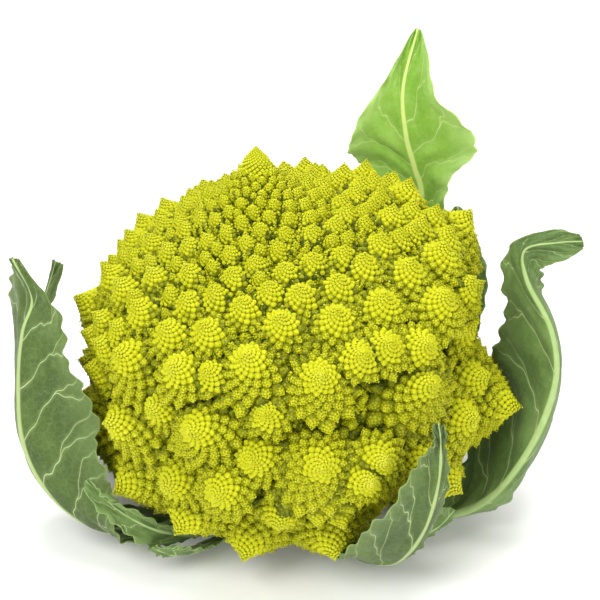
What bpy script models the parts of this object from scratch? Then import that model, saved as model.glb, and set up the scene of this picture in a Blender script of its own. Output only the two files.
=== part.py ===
"""Romanesco head: a curd of spiralling florets on a cut stalk, with the leaves left round it.

The origin is the middle of the stalk's flat cut face, +Z is up and -Y is the front. The curd
is one solid. Its florets follow the golden angle down a tilted dome, and each floret carries
buds by the same rule. The stalk and every leaf are pieces of their own, a hair's breadth clear
of one another.
"""
import math

import bmesh
import bpy
import numpy as np
from mathutils import Vector
from mathutils.geometry import delaunay_2d_cdt

MM = 0.001
GOLDEN_ANGLE = math.radians(137.5078)
GAP = 0.0003

# The dome that the floret tips lie on
APEX = np.array((-0.013, 0.0, 0.150))
LEAN = math.radians(9.0)
LEAN_TOWARDS = math.radians(7.0)
LEAN_FULL_AT = 0.060
DOME_PROFILE_MM = ((0, 0), (6, 7), (13, 13.5), (25, 20.5), (41, 26.5), (59, 34), (77, 48),
                   (86, 72), (90, 96), (83, 117), (74, 132))
CROWN_WAY = 0.017
UPWARD_PULL = 0.25

# How wide a floret is, by its way down the dome from the apex, both in mm
FLORET_WIDTHS_MM = ((0, 2.2), (17, 4.4), (26, 7.0), (37, 9.5), (54, 12.5), (74, 18), (96, 28),
                    (119, 34), (141, 38), (182, 41))
SUNNY_SIDE_GROWTH = 0.12
SUNNY_SIDE_WAY = 0.075
BACK_GROWTH = 0.30

# The florets that face the front, each in its own place: turn round the head in degrees, way
# down and width in mm
FRONT_FLORETS = (
    (-83, 126, 41), (-52, 111, 38), (-140, 118, 33), (-21, 152, 37), (-113, 111, 30), (-98, 83, 28),
    (-79, 94, 27), (-139, 90, 27), (-124, 161, 30), (-109, 177, 31), (-84, 180, 33), (-35, 88, 23),
    (-17, 77, 22), (17, 94, 29), (-3, 107, 25), (-87, 70, 21), (-69, 73, 20), (-119, 88, 19),
    (-52, 75, 18), (52, 92, 18), (55, 75, 17), (-34, 71, 18), (-5, 55, 17), (144, 80, 19),
    (137, 72, 16), (146, 98, 21), (178, 97, 20), (-162, 71, 16), (154, 113, 16), (-152, 59, 16),
    (-127, 75, 16), (-113, 72, 16), (-78, 60, 16), (-62, 61, 16), (-59, 91, 17), (-67, 91, 14),
    (-49, 98, 16), (-44, 110, 14), (-180, 55, 15), (-134, 51, 15), (-46, 58, 15), (-30, 56, 15),
    (-125, 62, 14), (-101, 62, 14), (-148, 42, 14), (-162, 32, 11), (-31, 39, 13), (-13, 40, 12),
    (17, 44, 12), (-108, 49, 13), (-114, 57, 12), (-90, 56, 12), (-81, 49, 12), (-65, 48, 12),
    (-49, 51, 11), (-96, 44, 10), (179, 41, 11), (2, 28, 9), (-113, 40, 8), (-80, 39, 8),
    (-69, 130, 17), (-73, 136, 18), (-108, 134, 19), (-47, 167, 24),
)

# Where a leaf presses on the head: turn in degrees, way down, reach and depth in mm
PRESSED = ((2, 128, 32, 25), (0, 168, 20, 9), (-60, 152, 20, 7), (-34, 114, 24, 17))
PRESS_STEEPNESS = 1.35

# Least room between florets, as a share of their mean width, for narrow and for wide ones
CROWDED_WIDTHS = (0.012, 0.024)
CROWDING = (0.62, 0.80)
FILLER_WIDTH = 0.55
FILLER_CROWDING = 0.74
FILLER_SINK = 0.25

# One floret: a straight-sided cone with buds down its side
CONE_HALF_ANGLE = math.radians(39.0)
BUDS_ON_WIDE_FLORET = 42
WIDE_FLORET = 0.040
BUD_COUNT_POWER = 1.35
BUD_STAND_OUT = 0.05
FIRST_BUD = 0.8
BUD_SPREAD_POWER = 0.6
CROWN_BUD_ROOM = 0.0012
BUD_ROOM_ON_WIDE_FLORET = 0.0048
CONE_REACH = 1.15
CONE_CORE = 0.94
VALLEY_IN_FLORET = 0.19
VALLEY_BETWEEN_FLORETS = 0.53

# Underside of the curd, where it sits on the stalk
CURD_CENTRE = np.array((0.0, 0.0, 0.085))
LOWEST_BUD = 0.013
UNDERSIDE_ANGLE = math.radians(141.0)
LANDING_HEIGHT = 0.030
LANDING_RADIUS = 0.034
LANDING_POINTS = 28

# Stalk: radius by height in mm, under the branching top
STALK_PROFILE_MM = ((0, 23.5), (1.5, 25), (8, 25), (16, 24.5), (22, 26), (27, 29))
STALK_TOP_RADIUS = 0.0305
STALK_SIDES = 42
BRANCHES = 7
BRANCH_SWELL = 0.04
BRANCHES_START = 0.016

# Leaves
BLADE_THICKNESS = 0.0013
RIB_SPREAD = 0.20
KEEL_ROUNDING = 0.22
TIP_FLATTENING = 0.9
TIP_THINNING = 0.45
RIB_TAPER = 0.75
LOBE_DEPTH = 0.10
WAVE_SHIFT_ACROSS = 1.3
LEAST_HEIGHT = 0.0005
SMALL_LEAF_ROWS = 10
LARGE_LEAF_COLUMNS = 10
SMALL_LEAF_COLUMNS = 6
LARGE_LEAF_STATIONS = 7

# Each leaf from the stalk to its tip, in mm: its midrib, the margin that faces the front and
# the margin folded away behind. The outer side is 1 or -1, as the blade turns round its rib.
# Rib thickness and wave height are in mm.
LEAVES = {
    "leaf_left": dict(
        rib=((-23, -12, 7), (-40, -26, 5), (-58, -38, 7), (-76, -43, 15), (-90, -43, 30),
             (-98, -39, 49), (-99, -32, 70), (-97, -26, 88), (-94, -18, 98), (-101, -12, 111)),
        front=((-21, -17, 9), (-43, -34, 7), (-59, -50, 12), (-65, -55, 23), (-65, -51, 37),
               (-69, -46, 52), (-73, -41, 68), (-79, -34, 82), (-86, -24, 96), (-99, -12, 111)),
        back=((-24, -6, 6), (-44, -13, 4), (-68, -20, 5), (-85, -16, 8), (-98, -12, 19),
              (-104, -6, 36), (-105, 2, 62), (-107, 3, 80), (-104, 0, 97), (-103, -10, 110)),
        side=1, rib_thickness=2.0, wave=1.6, waves=4.0, lobes=9),
    "leaf_right": dict(
        rib=((24, -9, 8), (42, -20, 5), (57, -29, 8), (69, -33, 15), (79, -36, 27),
             (90, -33, 47), (96, -28, 69), (94, -21, 86), (85, -14, 103), (84, -11, 114),
             (95, -13, 118), (104, -14, 119)),
        front=((22, -14, 10), (38, -21, 10), (53, -19, 14), (66, -12, 22), (72, -2, 32),
               (78, 5, 44), (77, 3, 57), (78, 1, 73), (78, -3, 92), (80, -6, 114),
               (93, -10, 122), (103, -12, 121)),
        back=((25, -3, 6), (46, -15, 3), (61, -22, 3), (72, -22, 5), (84, -24, 13),
              (97, -12, 30), (102, 4, 50), (101, 6, 72), (92, -4, 94), (90, -13, 107),
              (97, -16, 112), (104, -16, 117)),
        side=-1, rib_thickness=2.0, wave=1.6, waves=4.5, lobes=10),
    "leaf_front": dict(
        rib=((12, -23, 6), (18, -38, 4), (26, -53, 7), (37, -67, 17), (45, -78, 39),
             (49, -82, 62), (49, -85, 80), (48, -87, 90)),
        front=((8, -25, 9), (11, -43, 9), (15, -62, 16), (22, -79, 34), (32, -85, 55),
               (41, -85, 70), (46, -86, 82), (46, -87, 90)),
        back=((15, -20, 5), (27, -35, 3), (37, -44, 4), (46, -56, 14), (51, -68, 36),
              (53, -77, 60), (52, -82, 78), (50, -87, 89)),
        side=-1, rib_thickness=2.0, wave=1.3, waves=3.5, lobes=7),
    "leaf_front_rear": dict(
        rib=((17, -19, 7), (30, -34, 6), (43, -45, 10), (53, -47, 16), (60, -45, 23)),
        front=((15, -21, 9), (30, -38, 9), (42, -51, 19), (50, -52, 27), (58, -46, 25)),
        back=((19, -16, 6), (33, -29, 4), (47, -38, 6), (56, -43, 12), (61, -44, 21)),
        side=-1, rib_thickness=1.4, wave=1.2, waves=2.5, lobes=4),
    "leaf_back": dict(
        rib=((10, 23, 10), (22, 50, 12), (38, 78, 30), (49, 92, 58), (55, 93, 84),
             (51, 92, 100), (47, 91, 114), (45, 91, 135), (50, 92, 160)),
        front=((5, 25, 11), (8, 57, 16), (14, 93, 40), (24, 99, 64), (30, 97, 84),
               (26, 96, 98), (23, 92, 113), (36, 90, 137), (48, 92, 159)),
        back=((15, 20, 11), (35, 43, 14), (56, 66, 32), (63, 80, 56), (64, 82, 82),
              (67, 82, 98), (76, 82, 115), (58, 87, 136), (52, 92, 159)),
        side=-1, rib_thickness=2.4, wave=2.0, waves=3.5, lobes=8),
    "leaf_back_low": dict(
        rib=((20, 16, 8), (42, 34, 10), (66, 54, 34), (74, 64, 64), (68, 72, 90)),
        front=((17, 19, 9), (37, 39, 13), (58, 62, 38), (67, 71, 64), (65, 73, 88)),
        back=((22, 12, 8), (47, 27, 11), (73, 44, 34), (80, 55, 62), (72, 70, 88)),
        side=-1, rib_thickness=1.6, wave=1.2, waves=3.0, lobes=5),
    "leaf_left_rear": dict(
        rib=((-25, 5, 8), (-52, 10, 6), (-84, 18, 20), (-100, 24, 56), (-92, 24, 90)),
        front=((-25, 1, 9), (-54, 3, 8), (-84, 10, 24), (-97, 17, 58), (-89, 22, 90)),
        back=((-24, 9, 8), (-51, 18, 7), (-83, 28, 20), (-99, 31, 55), (-94, 26, 90)),
        side=1, rib_thickness=1.6, wave=1.0, waves=2.5, lobes=4),
    "leaf_low_left": dict(
        rib=((-17, -19, 9), (-33, -39, 8), (-47, -52, 18), (-61, -58, 31), (-74, -57, 45)),
        front=((-15, -22, 11), (-33, -42, 12), (-48, -55, 24), (-64, -60, 38), (-72, -58, 46)),
        back=((-20, -16, 7), (-34, -36, 5), (-48, -54, 13), (-62, -62, 26), (-74, -60, 43)),
        side=1, rib_thickness=1.2, wave=0.8, waves=2.5, lobes=4),
    "leaf_low_front": dict(
        rib=((-10, -24, 8), (-28, -41, 5), (-42, -54, 9), (-51, -60, 17)),
        front=((-7, -25, 9), (-24, -45, 9), (-37, -58, 15), (-49, -61, 18)),
        back=((-13, -22, 6), (-31, -38, 3), (-47, -50, 6), (-53, -59, 15)),
        side=1, rib_thickness=1.2, wave=0.8, waves=2.0, lobes=3),
}


def clear_scene():
    for obj in list(bpy.data.objects):
        bpy.data.objects.remove(obj)


def material(name, colour, roughness):
    """A plain Principled material with a linear base colour."""
    mat = bpy.data.materials.new(name)
    mat.use_nodes = True
    shader = mat.node_tree.nodes["Principled BSDF"]
    shader.inputs["Base Color"].default_value = (*colour, 1.0)
    shader.inputs["Roughness"].default_value = roughness
    shader.inputs["Metallic"].default_value = 0.0
    return mat


def add_object(name, points, faces, mat):
    """An object of its own from points and faces, with its faces turned outward."""
    mesh = bpy.data.meshes.new(name)
    mesh.from_pydata([tuple(p) for p in points], [], [tuple(f) for f in faces])
    work = bmesh.new()
    work.from_mesh(mesh)
    bmesh.ops.recalc_face_normals(work, faces=work.faces)
    work.to_mesh(mesh)
    work.free()
    mesh.materials.append(mat)
    obj = bpy.data.objects.new(name, mesh)
    bpy.context.scene.collection.objects.link(obj)
    return obj


def unit(vectors):
    return vectors / np.linalg.norm(vectors, axis=-1, keepdims=True)


def smooth(t):
    t = np.clip(t, 0.0, 1.0)
    return t * t * (3.0 - 2.0 * t)


def curve(points, t):
    """Catmull-Rom curve through the points, read at t from 0 at the first to 1 at the last."""
    points = np.asarray(points, float)
    ends = (2 * points[0] - points[1], 2 * points[-1] - points[-2])
    padded = np.vstack((ends[0], points, ends[1]))
    place = np.clip(np.asarray(t, float), 0, 1) * (len(points) - 1)
    span = np.minimum(place.astype(int), len(points) - 2)
    f = (place - span)[..., None]
    a, b, c, d = (padded[span + i] for i in range(4))
    return 0.5 * (2 * b + (c - a) * f + (2 * a - 5 * b + 4 * c - d) * f ** 2
                  + (3 * b - a - 3 * c + d) * f ** 3)


def dome_tables(steps=600):
    """The dome's outline by its way down from the apex: way, radius, drop and slope angle."""
    profile = np.array(DOME_PROFILE_MM) * MM
    line = curve(np.vstack(((0, 0), profile[1:])), np.linspace(0, 1, steps))
    way = np.concatenate(([0.0], np.cumsum(np.linalg.norm(np.diff(line, axis=0), axis=1))))
    slope = np.arctan2(np.gradient(line[:, 1], way), np.gradient(line[:, 0], way))
    return way, line[:, 0], line[:, 1], slope


def lean(vectors, way):
    """Tip the dome over about its apex, more and more with the way down to LEAN_FULL_AT."""
    angle = LEAN * smooth(way / LEAN_FULL_AT)
    side = np.array((math.cos(LEAN_TOWARDS), math.sin(LEAN_TOWARDS), 0.0))
    up = np.array((0.0, 0.0, 1.0))
    out, high = vectors @ side, vectors @ up
    out_change = out * np.cos(angle) - high * np.sin(angle) - out
    high_change = out * np.sin(angle) + high * np.cos(angle) - high
    return vectors + out_change[:, None] * side + high_change[:, None] * up


def on_dome(turn, way):
    """Tips and outward directions at a turn round the head and a way down from the apex."""
    table, radius, drop, slope = dome_tables()
    r = np.interp(way, table, radius)
    d = np.interp(way, table, drop)
    a = np.interp(way, table, slope)
    tips = np.stack((r * np.cos(turn), r * np.sin(turn), -d), 1)
    level = np.sin(a)
    axes = np.stack((level * np.cos(turn), level * np.sin(turn), np.cos(a) + UPWARD_PULL * level), 1)
    return APEX + lean(tips, way), unit(lean(unit(axes), way))


def spiral(width_factor=1.0):
    """Turn, way and width of every floret of the spiral, spaced so that each has its own room."""
    way, radius, _, _ = dome_tables()
    widths = np.array(FLORET_WIDTHS_MM) * MM
    width = np.interp(way, widths[:, 0], widths[:, 1]) * width_factor
    per_metre = 2 * math.pi * radius / (math.sqrt(3) / 2 * width ** 2) * (way >= CROWN_WAY)
    count = np.concatenate(([0.0], np.cumsum((per_metre[1:] + per_metre[:-1]) / 2 * np.diff(way))))
    total = int(count[-1])
    number = np.arange(total) + 0.5
    below_crown = way >= CROWN_WAY
    at = np.interp(number, count[below_crown], way[below_crown])
    turn = (number - total) * GOLDEN_ANGLE
    sides = SUNNY_SIDE_GROWTH * np.cos(turn) + BACK_GROWTH * (1 + np.sin(turn)) / 2
    growth = 1 + sides * np.clip(2.4 - at / SUNNY_SIDE_WAY, 0, 1)
    return turn, at, np.interp(at, way, width) * growth


def press(tips, axes):
    """Move tips in along their own axes where a leaf lies against the head."""
    for turn, way, reach, depth in PRESSED:
        middle, _ = on_dome(np.radians([turn]), np.array([way * MM]))
        near = smooth(PRESS_STEEPNESS * (1 - np.linalg.norm(tips - middle, axis=1) / (reach * MM)))
        tips = tips - axes * (depth * MM * near)[:, None]
    return tips


def florets():
    """Tips, axes and widths: the front florets, then the spiral, then fillers in the gaps."""
    front = np.array(FRONT_FLORETS, float)
    turn, way = np.radians(front[:, 0]), front[:, 1] * MM
    own, fill = spiral(), spiral(FILLER_WIDTH)
    rings = (((turn, way, front[:, 2] * MM), np.zeros(len(turn)), 0.0),
             (own, np.interp(own[2], CROWDED_WIDTHS, CROWDING), 0.0),
             (fill, np.full(len(fill[2]), FILLER_CROWDING), FILLER_SINK))
    kept_tips, kept_axes, kept_widths = [], [], []
    for ring, shares, sink in rings:
        tips, axes = on_dome(ring[0], ring[1])
        tips = tips - axes * (sink * ring[2])[:, None]
        for tip, axis, width, share in zip(tips, axes, ring[2], shares):
            if kept_tips:
                room = share * (np.array(kept_widths) + width) / 2
                if np.any(np.linalg.norm(np.array(kept_tips) - tip, axis=1) < room):
                    continue
            kept_tips.append(tip)
            kept_axes.append(axis)
            kept_widths.append(width)
    axes = np.array(kept_axes)
    return press(np.array(kept_tips), axes), axes, np.array(kept_widths)


def sideways(axis):
    """Two directions square to an axis and to each other."""
    first = unit(np.cross(axis, (0.0, 0.1, 1.0)))
    return first, np.cross(axis, first)


def bud_tips(tip, axis, width, turn):
    """Bud tips down one floret's cone, spiralling from its own tip, which comes first."""
    count = int(round(BUDS_ON_WIDE_FLORET * (width / WIDE_FLORET) ** BUD_COUNT_POWER))
    number = np.arange(count)
    down = ((number + FIRST_BUD) / max(count, 1)) ** BUD_SPREAD_POWER
    angle = number * GOLDEN_ANGLE + turn
    first, second = sideways(axis)
    out = np.cos(angle)[:, None] * first + np.sin(angle)[:, None] * second
    height = width / 2 / math.tan(CONE_HALF_ANGLE)
    points = tip - axis * (height * down)[:, None] + out * (width / 2 * down)[:, None]
    flank = math.cos(CONE_HALF_ANGLE) * out + math.sin(CONE_HALF_ANGLE) * axis
    points = points + flank * (BUD_STAND_OUT * width * down)[:, None]
    return np.vstack((tip[None, :], points))


def crown_tips():
    """Bud tips of the crown's own small cone, from the apex to the first florets."""
    way, radius, _, _ = dome_tables()
    widths = np.array(FLORET_WIDTHS_MM) * MM
    width = np.interp(way, widths[:, 0], widths[:, 1])
    per_metre = 2 * math.pi * radius / (math.sqrt(3) / 2 * width ** 2)
    count = np.concatenate(([0.0], np.cumsum((per_metre[1:] + per_metre[:-1]) / 2 * np.diff(way))))
    inside = way < CROWN_WAY
    number = np.arange(int(count[inside][-1])) + 0.5
    at = np.interp(number, count, way)
    tips, _ = on_dome(number * GOLDEN_ANGLE, at)
    return np.vstack((APEX[None, :], tips))


def inside_other(points, owner, tips, axes, widths):
    """True for points that lie inside the cone of a floret other than their own."""
    away = points[:, None, :] - tips[None, :, :]
    depth = -np.einsum("ijk,jk->ij", away, axes)
    off_axis = np.linalg.norm(away + depth[..., None] * axes[None, :, :], axis=2)
    height = widths / 2 / math.tan(CONE_HALF_ANGLE)
    core = CONE_CORE * depth * math.tan(CONE_HALF_ANGLE)
    buried = (depth > 0) & (depth < CONE_REACH * height) & (off_axis < core)
    buried[np.arange(len(points)), owner] = False
    return buried.any(axis=1)


def relief_points():
    """All bud tips that show, with the number of the floret that each belongs to."""
    tips, axes, widths = florets()
    groups = [bud_tips(t, a, w, i) for i, (t, a, w) in enumerate(zip(tips, axes, widths))]
    owner = np.concatenate([np.full(len(g), i) for i, g in enumerate(groups)])
    points = np.vstack(groups)
    own_tip = np.concatenate([np.arange(len(g)) == 0 for g in groups])
    shows = ~inside_other(points, owner, tips, axes, widths)
    away = unit(points - CURD_CENTRE)
    shows &= (points[:, 2] > LOWEST_BUD) & (away[:, 2] > math.cos(UNDERSIDE_ANGLE))
    rank = np.argsort(~own_tip[shows], kind="stable")
    crown = crown_tips()
    points = np.vstack((crown, points[shows][rank]))
    owner = np.concatenate((np.full(len(crown), -1), owner[shows][rank]))
    room = BUD_ROOM_ON_WIDE_FLORET * np.sqrt(widths[owner[len(crown):]] / WIDE_FLORET)
    return thin_out(points, owner, np.concatenate((np.full(len(crown), CROWN_BUD_ROOM), room)))


def thin_out(points, owner, room):
    """Drop points that lie almost on the same ray from the middle as an earlier one."""
    away = unit(points - CURD_CENTRE)
    least = room / np.linalg.norm(points - CURD_CENTRE, axis=1)
    kept = []
    for i in range(len(points)):
        if not kept or np.all(np.linalg.norm(away[kept] - away[i], axis=1) > least[i]):
            kept.append(i)
    return points[kept], owner[kept]


def landing_points():
    """Ring of points on the flat landing that sits on the stalk."""
    angle = np.arange(LANDING_POINTS) * 2 * math.pi / LANDING_POINTS
    flat = np.full(LANDING_POINTS, LANDING_HEIGHT)
    return np.stack((LANDING_RADIUS * np.cos(angle), LANDING_RADIUS * np.sin(angle), flat), 1)


def net(points):
    """Join neighbours by a Delaunay net drawn on the ball of directions from the middle.

    Seen from the ball's lowest point, the ball is laid flat: a direction at angle a from +Z
    lands tan(a / 2) from the centre. Circles stay circles, so the flat net is the ball's own.
    """
    away = unit(points - CURD_CENTRE)
    flat = away[:, :2] / (1 + away[:, 2:3])
    result = delaunay_2d_cdt([Vector(p) for p in flat], [], [], 0, 1e-9)
    order = [ids[0] for ids in result[3]]
    return np.array([[order[i] for i in face] for face in result[2]])


def valley_points(points, owner, faces):
    """A sunk point in the middle of each face, deeper where florets meet."""
    offset = points - CURD_CENTRE
    far = np.linalg.norm(offset, axis=1)
    middle = unit(unit(offset)[faces].mean(axis=1))
    corners = points[faces]
    edge = np.linalg.norm(corners - np.roll(corners, 1, axis=1), axis=2).mean(axis=1)
    mixed = (owner[faces] != np.roll(owner[faces], 1, axis=1)).any(axis=1)
    sink = np.where(mixed, VALLEY_BETWEEN_FLORETS, VALLEY_IN_FLORET) * edge
    return CURD_CENTRE + middle * (far[faces].mean(axis=1) - sink)[:, None]


def bump_faces(faces, valley_start, plain):
    """Turn the net so that valleys run round every tip: two faces across each old edge."""
    across = {}
    for number, (a, b, c) in enumerate(faces):
        for start, end in ((a, b), (b, c), (c, a)):
            across[(start, end)] = number
    result = []
    for (a, b), left in across.items():
        right = across.get((b, a))
        if plain[left]:
            continue
        if right is None or plain[right]:
            result.append((a, b, valley_start + left))
        elif a < b:
            result.append((a, valley_start + right, valley_start + left))
            result.append((b, valley_start + left, valley_start + right))
    result.extend(tuple(face) for number, face in enumerate(faces) if plain[number])
    return result


def build_curd(mat):
    """The curd: bud tips joined in a net, with a valley round every bud, on a flat landing."""
    buds, owner = relief_points()
    ring = landing_points()
    points = np.vstack((buds, ring))
    owner = np.concatenate((owner, np.full(len(ring), -2)))
    faces = net(points)
    plain = (owner[faces] == -2).sum(axis=1) >= 2
    valleys = valley_points(points, owner, faces)
    foot = np.array(((0.0, 0.0, LANDING_HEIGHT),))
    everything = np.vstack((points, valleys, foot))
    triangles = bump_faces([tuple(f) for f in faces], len(points), plain)
    first = len(buds)
    last_point = len(everything) - 1
    for i in range(LANDING_POINTS):
        triangles.append((first + (i + 1) % LANDING_POINTS, first + i, last_point))
    used = sorted({i for face in triangles for i in face})
    renumber = {old: new for new, old in enumerate(used)}
    triangles = [tuple(renumber[i] for i in face) for face in triangles]
    print("curd", len(buds), "buds", len(triangles), "triangles")
    return add_object("curd", everything[used], triangles, mat)


def stalk_radius(height):
    """Radius of the stalk's round part at a height."""
    profile = np.array(STALK_PROFILE_MM) * MM
    return np.interp(height, profile[:, 0], profile[:, 1])


def build_stalk(mat):
    """The stalk: a turned stump with a flat cut face that swells into branches at its top."""
    heights = [z * MM for z, _ in STALK_PROFILE_MM] + [LANDING_HEIGHT - GAP]
    angle = np.arange(STALK_SIDES) * 2 * math.pi / STALK_SIDES
    rows = []
    for level, height in enumerate(heights):
        radius = STALK_TOP_RADIUS if level == len(heights) - 1 else stalk_radius(height)
        swell = BRANCH_SWELL * smooth((height - BRANCHES_START) / (LANDING_HEIGHT - BRANCHES_START))
        r = radius * (1 + swell * np.cos(BRANCHES * angle))
        rows.append(np.stack((r * np.cos(angle), r * np.sin(angle), np.full(STALK_SIDES, height)), 1))
    points = np.vstack(rows + [np.array(((0, 0, 0), (0, 0, heights[-1])))])
    faces = []
    for level in range(len(heights) - 1):
        for i in range(STALK_SIDES):
            j = (i + 1) % STALK_SIDES
            low, high = level * STALK_SIDES, (level + 1) * STALK_SIDES
            faces.append((low + i, low + j, high + j))
            faces.append((low + i, high + j, high + i))
    top = (len(heights) - 1) * STALK_SIDES
    for i in range(STALK_SIDES):
        j = (i + 1) % STALK_SIDES
        faces.append((j, i, len(points) - 2))
        faces.append((top + i, top + j, len(points) - 1))
    return add_object("stalk", points, faces, mat)


def lobe_reach(u, lobes):
    """How far the margin reaches along a leaf: shallow rounded lobes with sharp notches."""
    notch = np.abs(np.cos(math.pi * lobes * u)) ** 3
    return 1 - LOBE_DEPTH * notch * smooth(4 * u) * smooth(6 * (1 - u))


def towards_tip(u):
    """0 along most of a leaf, rising to 1 over its last quarter."""
    return smooth(4 * u - 3)


def blade_points(leaf, u, v):
    """The blade's inner side at u along the midrib and v across, -1 back to 1 front margin."""
    rib = curve(np.array(leaf["rib"]) * MM, u)
    front = curve(np.array(leaf["front"]) * MM, u) - rib
    back = curve(np.array(leaf["back"]) * MM, u) - rib
    rounding = KEEL_ROUNDING + TIP_FLATTENING * towards_tip(u)
    bend = np.sqrt(v ** 2 + rounding ** 2)
    centred = rounding * (1 - v ** 2)
    to_front, to_back = (bend + v - centred) / 2, (bend - v - centred) / 2
    reach = 1 - (1 - lobe_reach(u, leaf["lobes"])) * v ** 4
    points = rib + (front * to_front[..., None] + back * to_back[..., None]) * reach[..., None]
    outward = unit(points - CURD_CENTRE)
    phase = 2 * math.pi * leaf["waves"] * u + WAVE_SHIFT_ACROSS * v
    wave = leaf["wave"] * MM * v ** 2 * np.sin(phase) * smooth(5 * u) * smooth(8 * (1 - u))
    return points + outward * wave[..., None]


def blade_normals(points, side):
    """Directions square to the blade, on its outer side."""
    along = np.gradient(points, axis=0)
    across = np.gradient(points, axis=1)
    return side * unit(np.cross(along, across))


def rib_swell(leaf, u, v):
    """How far the midrib stands out of the blade, less and less towards the tip."""
    return leaf["rib_thickness"] * MM * (1 - RIB_TAPER * u) * np.exp(-(v / RIB_SPREAD) ** 2)


def clear_of_stalk(points, first_row):
    """Push points out of the stalk, and set a leaf's first row right on its surface."""
    r = np.hypot(points[..., 0], points[..., 1])
    least = stalk_radius(points[..., 2]) / math.cos(math.pi / STALK_SIDES) + GAP
    factor = np.where(first_row, least / r, np.maximum(least / r, 1.0))
    points[..., :2] *= factor[..., None]
    return points


def build_leaf(name, leaf, mat):
    """A closed blade: its inner side, its outer side and a strip round the margin."""
    large = len(leaf["rib"]) >= LARGE_LEAF_STATIONS
    rows = 2 * len(leaf["rib"]) + 2 if large else SMALL_LEAF_ROWS
    columns = LARGE_LEAF_COLUMNS if large else SMALL_LEAF_COLUMNS
    u, v = np.meshgrid(np.linspace(0, 1, rows + 1), np.linspace(-1, 1, columns + 1), indexing="ij")
    middle = blade_points(leaf, u, v)
    out = blade_normals(middle, leaf["side"])
    inner = middle - out * rib_swell(leaf, u, v)[..., None]
    thickness = BLADE_THICKNESS * (1 - TIP_THINNING * towards_tip(u))
    outer = middle + out * thickness[..., None]
    inner = clear_of_stalk(inner, u == 0)
    outer = clear_of_stalk(outer, u == 0)
    points = np.vstack((inner.reshape(-1, 3), outer.reshape(-1, 3)))
    points[:, 2] = np.maximum(points[:, 2], LEAST_HEIGHT)
    width = columns + 1
    shift = (rows + 1) * width
    faces = []
    for i in range(rows):
        for j in range(columns):
            a, b = i * width + j, (i + 1) * width + j
            faces += [(a, b, b + 1), (a, b + 1, a + 1)]
            faces += [(shift + a, shift + b + 1, shift + b), (shift + a, shift + a + 1, shift + b + 1)]
    rim = [j for j in range(width)] + [i * width + columns for i in range(1, rows + 1)]
    rim += [rows * width + j for j in range(columns - 1, -1, -1)]
    rim += [i * width for i in range(rows - 1, 0, -1)]
    for start, end in zip(rim, rim[1:] + rim[:1]):
        faces += [(start, end, shift + end), (start, shift + end, shift + start)]
    print(name, len(faces), "triangles")
    return add_object(name, points, faces, mat)


def main():
    clear_scene()
    curd_green = material("curd_yellow_green", (0.40, 0.42, 0.02), 0.55)
    stalk_green = material("stalk_pale_green", (0.55, 0.62, 0.32), 0.60)
    leaf_green = material("leaf_blue_green", (0.13, 0.21, 0.08), 0.60)
    build_curd(curd_green)
    build_stalk(stalk_green)
    for name, leaf in LEAVES.items():
        build_leaf(name, leaf, leaf_green)


main()
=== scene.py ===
# %% [markdown]
# # A romanesco head
# This lesson builds a romanesco: a yellow-green curd of spiralling pointed florets on a short
# cut stalk, with blue-green leaves cupped round it. The head was measured once as a plain
# solid model, which is loaded first and stays as the frame that every piece is fitted to.

# %% Load the measured head
import math

import bpy
import numpy as np
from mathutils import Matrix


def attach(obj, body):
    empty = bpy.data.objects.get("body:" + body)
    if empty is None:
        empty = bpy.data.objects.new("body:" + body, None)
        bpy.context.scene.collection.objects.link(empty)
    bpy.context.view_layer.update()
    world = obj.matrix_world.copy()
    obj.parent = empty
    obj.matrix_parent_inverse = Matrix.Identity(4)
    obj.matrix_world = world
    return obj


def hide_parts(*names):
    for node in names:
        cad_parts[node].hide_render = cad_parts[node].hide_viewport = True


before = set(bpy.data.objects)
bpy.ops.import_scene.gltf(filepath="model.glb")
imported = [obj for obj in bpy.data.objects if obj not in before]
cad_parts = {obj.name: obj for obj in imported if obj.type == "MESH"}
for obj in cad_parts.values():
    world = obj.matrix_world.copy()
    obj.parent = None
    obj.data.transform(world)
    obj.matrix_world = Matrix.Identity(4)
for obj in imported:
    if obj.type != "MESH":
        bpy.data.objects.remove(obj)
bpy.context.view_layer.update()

MM = 0.001

# %% [markdown]
# ## The camera
# The head is seen from the front and a little above, as on a table, with a long lens that
# keeps the florets' sizes true. A long lens could stand further off and give the same frame.
# The distance was chosen so that the apex and the front florets overlap as they do to the eye.

# %% Camera
CAMERA_LOOKS_AT = np.array((0.00265, 0.00726, 0.08257))
CAMERA_DISTANCE = 0.60
CAMERA_ELEVATION = math.radians(30.0)
LENS_MM = 94.5

back_to_camera = np.array((0.0, -math.cos(CAMERA_ELEVATION), math.sin(CAMERA_ELEVATION)))
camera_data = bpy.data.cameras.new("camera")
camera_data.lens = LENS_MM
camera_data.sensor_width = 36.0
camera_data.clip_start = 0.01
camera = bpy.data.objects.new("camera", camera_data)
camera.location = CAMERA_LOOKS_AT + back_to_camera * CAMERA_DISTANCE
camera.rotation_euler = (math.pi / 2 - CAMERA_ELEVATION, 0.0, 0.0)
bpy.context.scene.collection.objects.link(camera)
bpy.context.scene.camera = camera
print("camera at", [round(c, 3) for c in camera.location])

# %% [markdown]
# ## Sky and lamps
# A pale sky gives the even light of a bright kitchen. One broad lamp above the left shoulder
# models the florets, and others on the right, low in front and overhead keep the shadows
# open. A single lamp would leave the clefts black.

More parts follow.
